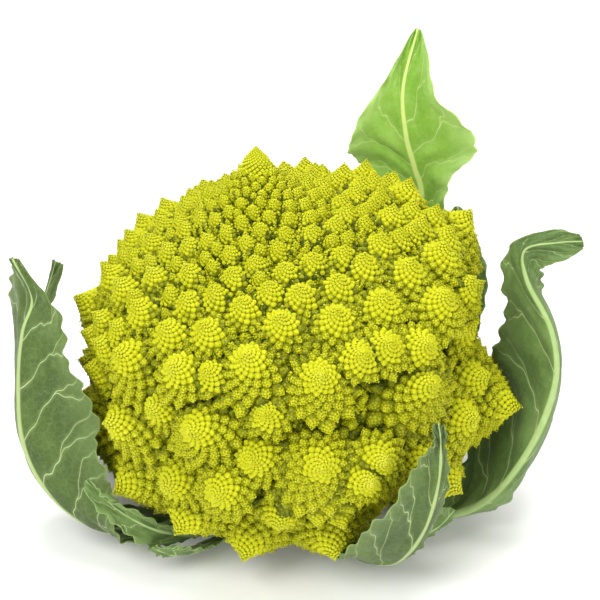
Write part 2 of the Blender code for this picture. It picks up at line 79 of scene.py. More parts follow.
# %% Sky and lamps
def add_lamp(name, place, size, power):
    """A square lamp at a place, turned so that its -Z points at the middle of the head.

    The tilt is the angle whose tangent is level distance over drop, and the turn is the
    compass angle of the aim less a quarter turn.
    """
    data = bpy.data.lights.new(name, "AREA")
    data.size = size
    data.energy = power
    lamp = bpy.data.objects.new(name, data)
    lamp.location = place
    aim = CAMERA_LOOKS_AT - np.array(place)
    level = math.hypot(aim[0], aim[1])
    lamp.rotation_euler = (math.atan2(level, -aim[2]), 0.0, math.atan2(aim[1], aim[0]) - math.pi / 2)
    bpy.context.scene.collection.objects.link(lamp)


add_lamp("key_lamp", (-0.55, -0.75, 1.15), 0.7, 14.0)
add_lamp("fill_lamp", (0.9, -0.9, 0.45), 1.0, 6.5)
add_lamp("low_lamp", (-0.35, -1.25, 0.22), 0.9, 6.0)
add_lamp("top_lamp", (0.05, 0.30, 1.3), 0.9, 16.0)

world = bpy.data.worlds.new("pale_sky")
world.use_nodes = True
world.node_tree.nodes["Background"].inputs["Color"].default_value = (1.0, 1.0, 0.99, 1.0)
world.node_tree.nodes["Background"].inputs["Strength"].default_value = 0.66
bpy.context.scene.world = world
bpy.context.scene.view_settings.view_transform = "Standard"
print("lamps:", len(bpy.data.lights))

# %% [markdown]
# ## Meshes from arrays
# Every piece below is worked out as whole numpy arrays of points and faces. One helper hands
# the arrays to Blender, and another gives a finished piece its material and its place. Moulding
# each piece by hand would also do, but arrays are exact and quick.

# %% Pieces from arrays
def add_mesh(name, points, faces, values=None):
    """An object made of an array of points and an array of faces, smooth shaded.

    Each array in values is stored on the points under its own name, for the material.
    """
    sides = faces.shape[1]
    mesh = bpy.data.meshes.new(name)
    mesh.vertices.add(len(points))
    mesh.vertices.foreach_set("co", points.astype(np.float32).ravel())
    mesh.loops.add(faces.size)
    mesh.loops.foreach_set("vertex_index", faces.astype(np.int32).ravel())
    mesh.polygons.add(len(faces))
    mesh.polygons.foreach_set("loop_start", np.arange(0, faces.size, sides, dtype=np.int32))
    mesh.polygons.foreach_set("use_smooth", np.ones(len(faces), dtype=bool))
    mesh.update(calc_edges=True)
    for label, numbers in (values or {}).items():
        layer = mesh.attributes.new(label, "FLOAT", "POINT")
        layer.data.foreach_set("value", np.asarray(numbers, dtype=np.float32).ravel())
    obj = bpy.data.objects.new(name, mesh)
    bpy.context.scene.collection.objects.link(obj)
    return obj


def finish(obj, node, material):
    """Give a piece its material and set it in the place of a node of the solid head."""
    obj.data.materials.append(material)
    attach(obj, "root")
    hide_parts(node)
    print(obj.name, len(obj.data.polygons), "triangles")


# %% [markdown]
# ## Materials from nodes
# Leaf, rind and curd all vary from one millimetre to the next, so each finish is a small net of
# nodes. This helper adds and joins them with one short line for each node, which keeps the
# recipes below readable. Joining them by hand in the editor gives the same net.

# %% Material helper
class Nodes:
    """A new material whose nodes are added and joined one line at a time."""

    def __init__(self, name):
        self.material = bpy.data.materials.new(name)
        self.material.use_nodes = True
        self.tree = self.material.node_tree
        self.shader = self.tree.nodes["Principled BSDF"]

    def add(self, kind, inputs=(), **settings):
        """A node of a kind, with its settings and its inputs filled in."""
        node = self.tree.nodes.new(kind)
        for label, value in settings.items():
            setattr(node, label, value)
        for key, value in dict(inputs).items():
            self.put(node.inputs[key], value)
        return node

    def put(self, socket, value):
        """Join a socket to an input, or write a plain value into it."""
        if isinstance(value, bpy.types.NodeSocket):
            self.tree.links.new(value, socket)
        else:
            socket.default_value = value

    def math(self, operation, a, b=0.0, c=0.0):
        """The result of one sum on up to three numbers."""
        return self.add("ShaderNodeMath", {0: a, 1: b, 2: c}, operation=operation).outputs[0]

    def stored(self, label):
        """A number that was stored on the points."""
        return self.add("ShaderNodeAttribute", attribute_name=label).outputs["Fac"]

    def object_place(self):
        """The place on the piece in metres."""
        return self.add("ShaderNodeTexCoord").outputs["Object"]

    def noise(self, scale, detail=2.0, roughness=0.5):
        """Soft blotches from 0 to 1, with scale blotches a metre."""
        return self.add("ShaderNodeTexNoise", {"Vector": self.object_place(), "Scale": scale,
                        "Detail": detail, "Roughness": roughness}).outputs["Fac"]

    def ease(self, value, start, end, low=0.0, high=1.0):
        """Low below start, high above end, and a smooth step between."""
        node = self.add("ShaderNodeMapRange", interpolation_type="SMOOTHSTEP")
        for key, number in zip((0, 1, 2, 3, 4), (value, start, end, low, high)):
            self.put(node.inputs[key], number)
        return node.outputs[0]

    def mix(self, share, first, second):
        """The first colour where share is 0, the second where it is 1."""
        node = self.add("ShaderNodeMix", data_type="RGBA")
        for key, value in ((0, share), (6, first), (7, second)):
            self.put(node.inputs[key], value)
        return node.outputs[2]

    def bump(self, height, distance, strength=1.0):
        """Directions tilted as if the surface rose by height times distance in metres."""
        node = self.add("ShaderNodeBump", {"Height": height, "Distance": distance,
                                           "Strength": strength})
        return node.outputs["Normal"]

    def set(self, **sockets):
        """Fill in the shader's own sockets, and give back the material."""
        for label, value in sockets.items():
            self.put(self.shader.inputs[label.replace("_", " ")], value)
        return self.material


# %% [markdown]
# ## The floor
# One large plain sheet is enough, since the table only has to catch soft shadows.

# %% Floor
FLOOR_HALF = 4.0

floor_nodes = Nodes("pale_floor")
floor_nodes.set(Base_Color=(0.86, 0.86, 0.85, 1.0), Roughness=0.75)
corners = np.array(((-1, -1, 0), (1, -1, 0), (1, 1, 0), (-1, 1, 0))) * FLOOR_HALF
floor = add_mesh("floor", corners, np.array(((0, 1, 2, 3),)))
floor.data.materials.append(floor_nodes.material)
print("floor is", 2 * FLOOR_HALF, "m wide")

# %% [markdown]
# ## The dome that carries the florets
# A romanesco's florets all start from one growing point, the apex. Their tips lie on a dome
# that stands a little askew. The dome is a profile of radius against drop, turned round the
# apex, and its lower part leans towards the right, which keeps the apex itself where it is.

# %% Smooth curves and the dome's outline
GOLDEN_ANGLE = math.radians(137.5078)
APEX = np.array((-0.013, 0.0, 0.150))
LEAN = math.radians(9.0)
LEAN_TOWARDS = math.radians(7.0)
LEAN_FULL_AT = 0.060
UPWARD_PULL = 0.25
DOME_PROFILE_MM = ((0, 0), (6, 7), (13, 13.5), (25, 20.5), (41, 26.5), (59, 34), (77, 48),
                   (86, 72), (90, 96), (83, 117), (74, 132))


def unit(vectors):
    """Each vector divided by its own length."""
    return vectors / np.linalg.norm(vectors, axis=-1, keepdims=True)


def smooth(t):
    """0 below 0, 1 above 1, and t * t * (3 - 2 * t) between."""
    t = np.clip(t, 0.0, 1.0)
    return t * t * (3.0 - 2.0 * t)


def curve(points, t):
    """Catmull-Rom curve through the points, read at t from 0 at the first to 1 at the last."""
    points = np.asarray(points, float)
    ends = (2 * points[0] - points[1], 2 * points[-1] - points[-2])
    padded = np.vstack((ends[0], points, ends[1]))
    place = np.clip(np.asarray(t, float), 0, 1) * (len(points) - 1)
    span = np.minimum(place.astype(int), len(points) - 2)
    f = (place - span)[..., None]
    a, b, c, d = (padded[span + i] for i in range(4))
    return 0.5 * (2 * b + (c - a) * f + (2 * a - 5 * b + 4 * c - d) * f ** 2
                  + (3 * b - a - 3 * c + d) * f ** 3)


def dome_tables(steps=600):
    """The dome's outline by its way down from the apex: way, radius, drop and slope angle."""
    line = curve(np.array(DOME_PROFILE_MM) * MM, np.linspace(0, 1, steps))
    way = np.concatenate(([0.0], np.cumsum(np.linalg.norm(np.diff(line, axis=0), axis=1))))
    slope = np.arctan2(np.gradient(line[:, 1], way), np.gradient(line[:, 0], way))
    return way, line[:, 0], line[:, 1], slope


WAY, RADIUS, DROP, SLOPE = dome_tables()
print("way from apex to the lowest florets, mm:", round(WAY[-1] / MM, 1))

# %% [markdown]
# ## Places on the dome
# Any turn round the head and way down from the apex now gives one tip and the direction in
# which its floret points. Everything on the curd is placed through this one rule.

# %% Places on the leaning dome
def lean(vectors, way):
    """Turn vectors sideways about the apex by LEAN * smooth(way / LEAN_FULL_AT)."""
    angle = LEAN * smooth(way / LEAN_FULL_AT)
    side = np.array((math.cos(LEAN_TOWARDS), math.sin(LEAN_TOWARDS), 0.0))
    up = np.array((0.0, 0.0, 1.0))
    out, high = vectors @ side, vectors @ up
    out_change = out * np.cos(angle) - high * np.sin(angle) - out
    high_change = out * np.sin(angle) + high * np.cos(angle) - high
    return vectors + out_change[:, None] * side + high_change[:, None] * up


def on_dome(turn, way):
    """Tips and outward directions at a turn round the head and a way down from the apex.

    A tip is at radius and drop from the tables, and its direction is the dome's normal with
    UPWARD_PULL added to its upward part, since florets reach for the light.
    """
    r, d, a = (np.interp(way, WAY, table) for table in (RADIUS, DROP, SLOPE))
    tips = np.stack((r * np.cos(turn), r * np.sin(turn), -d), 1)
    level = np.sin(a)
    high = np.cos(a) + UPWARD_PULL * level
    axes = np.stack((level * np.cos(turn), level * np.sin(turn), high), 1)
    return APEX + lean(tips, way), unit(lean(unit(axes), way))


print("apex direction:", on_dome(np.zeros(1), np.zeros(1))[1].round(2))

# %% [markdown]
# ## The florets
# Each new floret starts a golden angle, 137.5 degrees, round from the last, so no two stand in
# one line and spirals appear by themselves. A spacing rule gives each one a patch of the dome
# as large as its own width. The largest ones in front were placed one by one, because these
# give the head its character, and small ones fill what gaps are left.

# %% Where the florets stand
CROWN_WAY = 0.017
FLORET_WIDTHS_MM = ((0, 2.2), (17, 4.4), (26, 7.0), (37, 9.5), (54, 12.5), (74, 18), (96, 28),
                    (119, 34), (141, 38), (182, 41))
WIDTH_WAYS, WIDTHS = np.array(FLORET_WIDTHS_MM).T * MM
HEXAGON_ROW = math.sqrt(3) / 2
SUNNY_SIDE_GROWTH = 0.12
SUNNY_SIDE_WAY = 0.075
SUNNY_SIDE_END = 2.4
BACK_GROWTH = 0.30

# Turn round the head in degrees, way down from the apex and width in mm
FRONT_FLORETS = (
    (-83, 126, 41), (-52, 111, 38), (-140, 118, 33), (-21, 152, 37), (-113, 111, 30), (-98, 83, 28),
    (-79, 94, 27), (-139, 90, 27), (-124, 161, 30), (-109, 177, 31), (-84, 180, 33), (-35, 88, 23),
    (-17, 77, 22), (17, 94, 29), (-3, 107, 25), (-87, 70, 21), (-69, 73, 20), (-119, 88, 19),
    (-52, 75, 18), (52, 92, 18), (55, 75, 17), (-34, 71, 18), (-5, 55, 17), (144, 80, 19),
    (137, 72, 16), (146, 98, 21), (178, 97, 20), (-162, 71, 16), (154, 113, 16), (-152, 59, 16),
    (-127, 75, 16), (-113, 72, 16), (-78, 60, 16), (-62, 61, 16), (-59, 91, 17), (-67, 91, 14),
    (-49, 98, 16), (-44, 110, 14), (-180, 55, 15), (-134, 51, 15), (-46, 58, 15), (-30, 56, 15),
    (-125, 62, 14), (-101, 62, 14), (-148, 42, 14), (-162, 32, 11), (-31, 39, 13), (-13, 40, 12),
    (17, 44, 12), (-108, 49, 13), (-114, 57, 12), (-90, 56, 12), (-81, 49, 12), (-65, 48, 12),
    (-49, 51, 11), (-96, 44, 10), (179, 41, 11), (2, 28, 9), (-113, 40, 8), (-80, 39, 8),
    (-69, 130, 17), (-73, 136, 18), (-108, 134, 19), (-47, 167, 24),
)


def count_down(width, inside):
    """How many florets of a width stand above each way down, counting where inside is true.

    Round the head at radius r there is room for 2 pi r / (0.866 width^2) florets a metre of
    way, and the count is the running sum of that.
    """
    per_metre = 2 * math.pi * RADIUS / (HEXAGON_ROW * width ** 2) * inside
    return np.concatenate(([0.0], np.cumsum((per_metre[1:] + per_metre[:-1]) / 2 * np.diff(WAY))))


def spiral(width_factor=1.0):
    """Turn, way and width of every floret of the spiral, outside the crown.

    Floret n stands n golden angles round, at the way where the count reaches n. Towards the
    light and at the back it grows by up to 1 + the two shares of growth.
    """
    outside = WAY >= CROWN_WAY
    width = np.interp(WAY, WIDTH_WAYS, WIDTHS) * width_factor
    count = count_down(width, outside)
    total = int(count[-1])
    number = np.arange(total) + 0.5
    at = np.interp(number, count[outside], WAY[outside])
    turn = (number - total) * GOLDEN_ANGLE
    sides = SUNNY_SIDE_GROWTH * np.cos(turn) + BACK_GROWTH * (1 + np.sin(turn)) / 2
    growth = 1 + sides * np.clip(SUNNY_SIDE_END - at / SUNNY_SIDE_WAY, 0, 1)
    return turn, at, np.interp(at, WAY, width) * growth


# Where a leaf presses on the head: turn in degrees, way down, reach and depth in mm
PRESSED = ((2, 128, 32, 25), (0, 168, 20, 9), (-60, 152, 20, 7), (-34, 114, 24, 17))
PRESS_STEEPNESS = 1.35


def press(tips, axes):
    """Move tips in along their own axes where a leaf lies against the head.

    The move is depth * smooth(steepness * (1 - distance / reach)).
    """
    for turn, way, reach, depth in PRESSED:
        middle, _ = on_dome(np.radians([turn]), np.array([way * MM]))
        near = smooth(PRESS_STEEPNESS * (1 - np.linalg.norm(tips - middle, axis=1) / (reach * MM)))
        tips = tips - axes * (depth * MM * near)[:, None]
    return tips


# Widths in metres, and the share of them that florets keep between their tips
CROWDED_WIDTHS = (0.012, 0.024)
CROWDING = (0.62, 0.80)
FILLER_WIDTH = 0.55
FILLER_CROWDING = 0.74
FILLER_SINK = 0.25
TINY_WIDTH = 0.38
TINY_CROWDING = 0.66
TINY_SINK = 1.05
LEAST_TINY = 0.0026


def florets():
    """Tips, axes and widths: the placed florets, then the spiral, then fillers in the gaps.

    A floret stays if no earlier one is nearer than its share of their mean width. Fillers
    start deeper, by a share of their own width along their axis.
    """
    placed = np.array(FRONT_FLORETS, float)
    own, fill, tiny = spiral(), spiral(FILLER_WIDTH), spiral(TINY_WIDTH)
    tiny = [column[tiny[2] > LEAST_TINY] for column in tiny]
    rings = (((np.radians(placed[:, 0]), placed[:, 1] * MM, placed[:, 2] * MM),
              np.zeros(len(placed)), 0.0),
             (own, np.interp(own[2], CROWDED_WIDTHS, CROWDING), 0.0),
             (fill, np.full(len(fill[2]), FILLER_CROWDING), FILLER_SINK),
             (tiny, np.full(len(tiny[2]), TINY_CROWDING), TINY_SINK))
    kept = []
    for ring, shares, sink in rings:
        tips, axes = on_dome(ring[0], ring[1])
        tips = tips - axes * (sink * ring[2])[:, None]
        for tip, axis, width, share in zip(tips, axes, ring[2], shares):
            if kept:
                before = np.array([(*k[0], k[2]) for k in kept])
                room = share * (before[:, 3] + width) / 2
                if np.any(np.linalg.norm(before[:, :3] - tip, axis=1) < room):
                    continue
            kept.append((tip, axis, width))
    tips, axes, widths = (np.array(column) for column in zip(*kept))
    return press(tips, axes), axes, widths


FLORET_TIPS, FLORET_AXES, FLORET_WIDTHS = florets()
print("florets:", len(FLORET_TIPS), "widest, mm:", round(FLORET_WIDTHS.max() / MM, 1))

# %% [markdown]
# ## Buds on a cone
# A floret is a small romanesco itself: a straight-sided cone, covered by buds that follow the
# golden angle from its tip. The buds grow with their distance from the tip, so they keep the
# same look at every size. The same rule is used again for the beads on a bud. One rule for
# all is quicker than placing thousands of bumps, and it is what the plant does.

# %% The spiral rule on many cones at once
CONE_HALF_ANGLE = math.radians(39.0)
STEM_REACH = 2.5
CLEAR_ABOVE_TIP = 0.25
SIN_CONE = math.sin(CONE_HALF_ANGLE)
COS_CONE = math.cos(CONE_HALF_ANGLE)


def sideways(axes):
    """Two directions square to each axis and to each other, as cross products."""
    first = unit(np.cross(axes, (0.0, 0.1, 1.0)))
    return first, np.cross(axes, first)


def buds_down(tips, axes, widths, least, growth, spin):
    """Buds down many cones: place on the flank, flank normal, bud width, slant and cone number.

    Bud n stands n golden angles round, at the slant way s = least / growth *
    sqrt(exp(n / crowd) - 1). Its width is sqrt(least^2 + (growth * s)^2), so the tip has
    beads of one size and the flank has buds that grow in step with s. The constant crowd =
    pi * sin(half angle) / (0.866 * growth^2) makes each bud's patch fit its width.
    """
    crowd = math.pi * SIN_CONE / (HEXAGON_ROW * growth ** 2)
    slant = widths / 2 / SIN_CONE
    count = np.floor(crowd * np.log1p((growth * slant / least) ** 2)).astype(int) + 1
    cone = np.repeat(np.arange(len(tips)), count)
    number = np.arange(len(cone)) - np.repeat(np.cumsum(count) - count, count)
    s = least[cone] / growth * np.sqrt(np.expm1(number / crowd))
    angle = number * GOLDEN_ANGLE + spin[cone]
    first, second = sideways(axes)
    out = np.cos(angle)[:, None] * first[cone] + np.sin(angle)[:, None] * second[cone]
    places = tips[cone] - axes[cone] * (s * COS_CONE)[:, None] + out * (s * SIN_CONE)[:, None]
    normals = COS_CONE * out + SIN_CONE * axes[cone]
    near_tip = np.exp(-(s / least[cone]) ** 2)[:, None]
    normals = unit(normals * (1 - near_tip) + axes[cone] * near_tip)
    return places, normals, np.sqrt(least[cone] ** 2 + (growth * s) ** 2), s / slant[cone], cone


def clearance(points, owner, tips, axes, widths):
    """How far points are outside every cone but their own; below zero they are buried.

    With depth below a cone's tip and distance off its axis, a point is off_axis * cos -
    depth * sin outside the flank. Under its rim the cone goes on as a stem of its width.
    """
    p, t, a, w = (x.astype(np.float32) for x in (points, tips, axes, widths))
    depth = (t * a).sum(axis=1) - p @ a.T
    apart = (p ** 2).sum(axis=1)[:, None] - 2 * p @ t.T + (t ** 2).sum(axis=1)
    off_axis = np.sqrt(np.maximum(apart - depth ** 2, 0))
    height = w / 2 * COS_CONE / SIN_CONE
    flank = off_axis * COS_CONE - depth * SIN_CONE
    stem = off_axis - 0.5 * w
    outside = np.where(depth > height, stem, flank)
    outside = np.where(depth > STEM_REACH * height, 1.0, outside)
    outside = np.where(depth < -CLEAR_ABOVE_TIP * w, 1.0, outside)
    outside[np.arange(len(p)), owner] = 1.0
    return outside.min(axis=1).astype(float)


# %% [markdown]
# ## The crown
# At the very top the florets are too small to have buds. They are single beads on a small
# pointed cap, laid by the same golden angle, and the youngest florets ring it as knobs.

# %% Beads of the crown
CROWN_BEADS_MM = ((0, 0.75), (5, 0.95), (8, 1.4), (13, 2.4), (19, 3.6))
CROWN_SINK = 0.0016
KNOBS_FROM = 0.0088
CROWN_OVERLAP = 0.002
KNOB_OVERLAP = 0.001


def sunk_rim(way):
    """How far the crown dips in where the first florets rise in front of it: a smooth step
    from 0.7 to 1.2 times the way where they start."""
    return CROWN_SINK * smooth((way / KNOBS_FROM - 0.7) / 0.5)


def crown_beads():
    """Places, directions and widths of the beads between the apex and the first florets."""
    ways, bead_widths = np.array(CROWN_BEADS_MM).T * MM
    width = np.interp(WAY, ways, bead_widths)
    count = count_down(width, True)
    total = int(np.interp(KNOBS_FROM + CROWN_OVERLAP, WAY, count))
    at = np.interp(np.arange(total) + 0.3, count, WAY)
    places, normals = on_dome(np.arange(total) * GOLDEN_ANGLE, at)
    return places - normals * sunk_rim(at)[:, None], normals, np.interp(at, WAY, width)


def crown_knobs():
    """The youngest florets, knobs of 3 to 4 mm that ring the crown, laid by the same rule."""
    width = np.interp(WAY, WIDTH_WAYS, WIDTHS)
    inside = (WAY > KNOBS_FROM) & (WAY < CROWN_WAY + KNOB_OVERLAP)
    count = count_down(width, inside)
    at = np.interp(np.arange(int(count[-1])) + 0.5, count[inside], WAY[inside])
    tips, axes = on_dome(-np.arange(len(at)) * GOLDEN_ANGLE, at)
    return tips, axes, np.interp(at, WAY, width)


crown_places, crown_normals, crown_widths = crown_beads()
knobs = crown_knobs()
FLORET_TIPS = np.vstack((FLORET_TIPS, knobs[0]))
FLORET_AXES = np.vstack((FLORET_AXES, knobs[1]))
FLORET_WIDTHS = np.concatenate((FLORET_WIDTHS, knobs[2]))
print("crown beads:", len(crown_places), "knobs:", len(knobs[0]))

# %% [markdown]
# ## From florets to beads
# Wide buds are split once more into beads, and small buds stay single beads. What lies inside
# a neighbouring floret is never seen, so it is left out, and how open each bead lies is kept
# for the colour: shade is painted dark into the deep clefts, and the points are painted pale.

# %% Second order: buds on the florets
rng = np.random.default_rng(7)
LEAST_BEAD = 0.00080
LEAST_BEAD_ON_WIDEST = 0.00110
FULLNESS = 1.15
FULLNESS_OF_WIDEST = 1.04
BUD_GROWTH = 0.25
SPLIT_WIDTH = 0.0027
BUD_LEAN_AT_TIP = 0.30
BUD_LEAN_AT_RIM = -0.40
BURIED_SHARE = 0.25
CURD_CENTRE = np.array((0.0, 0.0, 0.085))
LOWEST_BUD = 0.010
UNDERSIDE_ANGLE = math.radians(143.0)

spin = rng.uniform(0, 2 * math.pi, len(FLORET_TIPS))
broad = FLORET_WIDTHS / FLORET_WIDTHS.max()
least = LEAST_BEAD + (LEAST_BEAD_ON_WIDEST - LEAST_BEAD) * broad
full_widths = FLORET_WIDTHS * (FULLNESS + (FULLNESS_OF_WIDEST - FULLNESS) * broad)
places, normals, sizes, slants, owner = buds_down(FLORET_TIPS, FLORET_AXES, full_widths,
                                                  least, BUD_GROWTH, spin)
open_by = clearance(places, owner, FLORET_TIPS, FLORET_AXES, full_widths)
away = unit(places - CURD_CENTRE)
shows = (open_by > -BURIED_SHARE * sizes) & (places[:, 2] > LOWEST_BUD)
shows &= away[:, 2] > math.cos(UNDERSIDE_ANGLE)
places, normals, sizes, slants, owner, open_by = (
    x[shows] for x in (places, normals, sizes, slants, owner, open_by))
bud_lean = BUD_LEAN_AT_TIP + (BUD_LEAN_AT_RIM - BUD_LEAN_AT_TIP) * smooth(slants)
bud_axes = unit(normals + bud_lean[:, None] * FLORET_AXES[owner])
print("buds that show:", len(places), "of", len(shows))

# %% [markdown]
# ## Beads on the wide buds
# A wide bud stands on the floret's flank as a pointed little cone. Its beads follow the same
# rule once more. Clefts between beads, buds and florets are stored as one number for the shade painted into
# them.

# %% Third order: beads on the wide buds
BUD_RISE = 0.82
BUD_WIDTH_SHARE = 1.04
BUD_BEAD = 0.00085
BEAD_GROWTH = 0.28
# Painted shade: the cleft beside the next floret darkens over this share of its width
CLEFT_SHADING_SHARE = 0.20

wide = sizes > SPLIT_WIDTH
wide_axes, wide_sizes = bud_axes[wide], sizes[wide]
bud_tips = places[wide] + wide_axes * (BUD_RISE * wide_sizes)[:, None]
bead_places, bead_normals, bead_sizes, bead_slants, bud = buds_down(
    bud_tips, wide_axes, wide_sizes * BUD_WIDTH_SHARE, np.full(len(wide_sizes), BUD_BEAD),
    BEAD_GROWTH, rng.uniform(0, 2 * math.pi, len(wide_sizes)))
bead_owner = owner[wide][bud]
bead_open = clearance(bead_places, bead_owner, FLORET_TIPS, FLORET_AXES, full_widths)
bead_shows = (bead_open > -BURIED_SHARE * wide_sizes[bud]) & (bead_places[:, 2] > LOWEST_BUD / 2)
print("wide buds:", len(wide_sizes), "beads that show:", int(bead_shows.sum()), "of", len(bud))

# %% [markdown]
# ## One list of all beads
# The crown's beads, the small buds and the beads of the wide buds now go into one list. With
# each bead goes how open it lies, which sets the shade painted into its cleft, and how near it is to a tip,
# which the material makes a little paler.

# %% One list of all beads
# Painted shade: how dark the crown beads, the feet of the buds and the clefts are made
CROWN_CLEFT_SHADING = 0.84
BUD_FOOT_SHADE = 0.46
CLEFT_SHADING_START = 0.21
PALE_AT_FLORET_TIP = 0.38
PALE_AT_BUD_TIP = 0.50
single = ~wide


def cleft_shading_of(outside, floret):
    """How open a place is, which sets the painted shade: 1 in the open, towards 0 in the dark cleft beside
    the next floret.
    """
    return smooth(CLEFT_SHADING_START + outside / (CLEFT_SHADING_SHARE * FLORET_WIDTHS[floret]))


bead_list = dict(
    crown=np.concatenate((np.ones(len(crown_places)), np.zeros(single.sum() + bead_shows.sum()))),
    place=np.vstack((crown_places, places[single], bead_places[bead_shows])),
    normal=np.vstack((crown_normals, bud_axes[single], bead_normals[bead_shows])),
    size=np.concatenate((crown_widths, sizes[single], bead_sizes[bead_shows])),
    # Painted shade in the clefts beside other florets and at the feet of the buds
    cleft_shading=np.concatenate((
        np.full(len(crown_places), CROWN_CLEFT_SHADING),
        cleft_shading_of(open_by[single], owner[single]),
        cleft_shading_of(bead_open, bead_owner)[bead_shows]
        * (1 - BUD_FOOT_SHADE * smooth(1.5 * bead_slants[bead_shows] - 0.5)))),
    tipward=np.concatenate((
        np.zeros(len(crown_places)),
        PALE_AT_FLORET_TIP * (1 - slants[single]),
        PALE_AT_BUD_TIP * (1 - bead_slants[bead_shows]))),
)
print("beads in all:", len(bead_list["size"]))

# %% [markdown]
# ## Stamping a bead thousands of times
# One bead is a pointed dome of a few rings. Multiplying its rings by every bead's own place,
# direction and size gives all beads in one array, which is far quicker than copies of an
# object, and the material can read how high each point lies on its bead, to paint shade at its
# foot and a highlight at its top. The small beads of the wide buds need only one ring, since
# each is hardly a millimetre wide.

# %% A turned shape, stamped in whole arrays
def ring_shape(rings, sides):
    """A closed-topped turned shape: rings of (radius, height) under a tip at (0, height).

    A point of a ring is (radius cos a, radius sin a, height), and each ring is turned by half
    a side from the one above.
    """
    angle = np.arange(sides) * 2 * math.pi / sides
    rows = [np.array(((0.0, 0.0, rings[0][1]),))]
    for level, (radius, height) in enumerate(rings[1:]):
        a = angle + level * math.pi / sides
        rows.append(np.stack((radius * np.cos(a), radius * np.sin(a), np.full(sides, height)), 1))
    here = np.arange(sides)
    after = (here + 1) % sides
    faces = [np.stack((np.zeros(sides, int), 1 + here, 1 + after), 1)]
    for level in range(len(rings) - 2):
        low, high = 1 + (level + 1) * sides, 1 + level * sides
        faces.append(np.stack((high + here, low + here, high + after), 1))
        faces.append(np.stack((high + after, low + here, low + after), 1))
    return np.vstack(rows), np.vstack(faces)


def stamp(shape, places, axes, radii, heights):
    """Points and faces of a shape repeated at each place.

    Each point is place + x * radius * first + y * radius * second + z * height * axis, where
    x, y, z are the shape's own numbers and first and second are square to the axis.
    """
    points, faces = shape
    first, second = sideways(axes)
    moved = (places[:, None, :]
             + points[None, :, 0:1] * (first * radii[:, None])[:, None, :]
             + points[None, :, 1:2] * (second * radii[:, None])[:, None, :]
             + points[None, :, 2:3] * (axes * heights[:, None])[:, None, :])
    shift = (np.arange(len(places)) * len(points))[:, None, None]
    return moved.reshape(-1, 3), (faces[None, :, :] + shift).reshape(-1, 3)


BEAD = ring_shape(((0, 1.0), (0.52, 0.58), (1.0, -0.12)), 5)
SMALL_BEAD = ring_shape(((0, 1.0), (1.0, -0.10)), 4)
SMALL_BEAD_LIMIT = 0.0016
# Stored height at the foot of a small bead, which sets how much shade is painted there
SMALL_BEAD_FOOT = 0.35
BEAD_RADIUS = 0.58
BEAD_HEIGHT = 0.34
KNOB_HEIGHT = 0.20
KNOB_STARTS_AT = 0.0012
CROWN_BEAD_LIFT = 0.14
print("one bead:", len(BEAD[1]), "faces, a small one:", len(SMALL_BEAD[1]))

# %% [markdown]
# ## The body under the buds
# Under the buds lies the fleshy body that carries them, with a flat underside where it sits
# on the stalk. It is a ball of directions from the middle of the curd, pushed out to the
# weighted mean depth of the florets in each direction.

# %% Body of the curd
LANDING_HEIGHT = 0.0305
BODY_DEPTH = 1.20
FLORET_SPREAD = 0.45
LEAST_SPREAD = 0.05
FACES_DOWN = -0.05


def body_distance(directions):
    """Distance from the middle to the body's skin: the florets' own distances less their
    height, averaged with weights exp(-(angle / spread)^2), cut level above the stalk."""
    offset = FLORET_TIPS - FLORET_AXES * (BODY_DEPTH * FLORET_WIDTHS / 2 * COS_CONE / SIN_CONE
                                          )[:, None] - CURD_CENTRE
    far = np.linalg.norm(offset, axis=1)
    apart = np.linalg.norm(directions[:, None, :] - (offset / far[:, None])[None, :, :], axis=2)
    spread = FLORET_SPREAD * FLORET_WIDTHS / far + LEAST_SPREAD
    weight = np.exp(-(apart / spread) ** 2) + 1e-9
    down = directions[:, 2]
    drop = LANDING_HEIGHT - CURD_CENTRE[2]
    level = np.where(down < FACES_DOWN, drop / np.minimum(down, FACES_DOWN), 1.0)
    return np.minimum((weight * far).sum(axis=1) / weight.sum(axis=1), level)


# %% [markdown]
# ## Closed shapes from grids
# A grid of points, row after row, becomes a surface when each small square is cut into two
# triangles. With one point at each end of the rings the surface is closed, as on a ball.

# %% Faces of grids and closed shapes
def grid_faces(rows, columns, closed):
    """Triangles of a grid of points, row after row; a closed grid joins its last column.

    Point (row, column) is number row * columns + column. Each square has corners a, b, c, d,
    and is cut from a to c.
    """
    i, j = np.meshgrid(np.arange(rows - 1), np.arange(columns if closed else columns - 1),
                       indexing="ij")
    after = (j + 1) % columns
    a, b, c, d = i * columns + j, (i + 1) * columns + j, (i + 1) * columns + after, i * columns + after
    return np.vstack((np.stack((a, b, c), -1).reshape(-1, 3), np.stack((a, c, d), -1).reshape(-1, 3)))


def turned_faces(rows, columns):
    """Faces of rings of points between two end points, as on a turned and closed shape."""
    here = np.arange(columns)
    after = (here + 1) % columns
    last = 1 + rows * columns
    first_ring = np.stack((np.zeros(columns, int), 1 + here, 1 + after), 1)
    last_ring = np.stack((np.full(columns, last), last - columns + after, last - columns + here), 1)
    return np.vstack((first_ring, grid_faces(rows, columns, True) + 1, last_ring))


def outward(points, faces):
    """The faces, turned over if the closed shape's signed volume is below zero."""
    a, b, c = (points[faces[:, i]] - points.mean(axis=0) for i in range(3))
    return faces if (np.cross(a, b) * c).sum() > 0 else faces[:, ::-1]


def ball_points(rows, columns):
    """Directions on a ball: a pole, rings of points down it, and the other pole."""
    polar = (np.arange(rows) + 1) * math.pi / (rows + 1)
    polar, turn = np.meshgrid(polar, np.arange(columns) * 2 * math.pi / columns, indexing="ij")
    out = np.stack((np.sin(polar) * np.cos(turn), np.sin(polar) * np.sin(turn), np.cos(polar)), -1)
    return np.vstack(((0, 0, 1), out.reshape(-1, 3), (0, 0, -1)))


BODY_RINGS, BODY_SIDES = 64, 96
body_directions = ball_points(BODY_RINGS, BODY_SIDES)
body_out = body_distance(body_directions)
body_points = CURD_CENTRE + body_directions * body_out[:, None]
print("body reaches, mm:", round(body_out.min() / MM), "to", round(body_out.max() / MM))
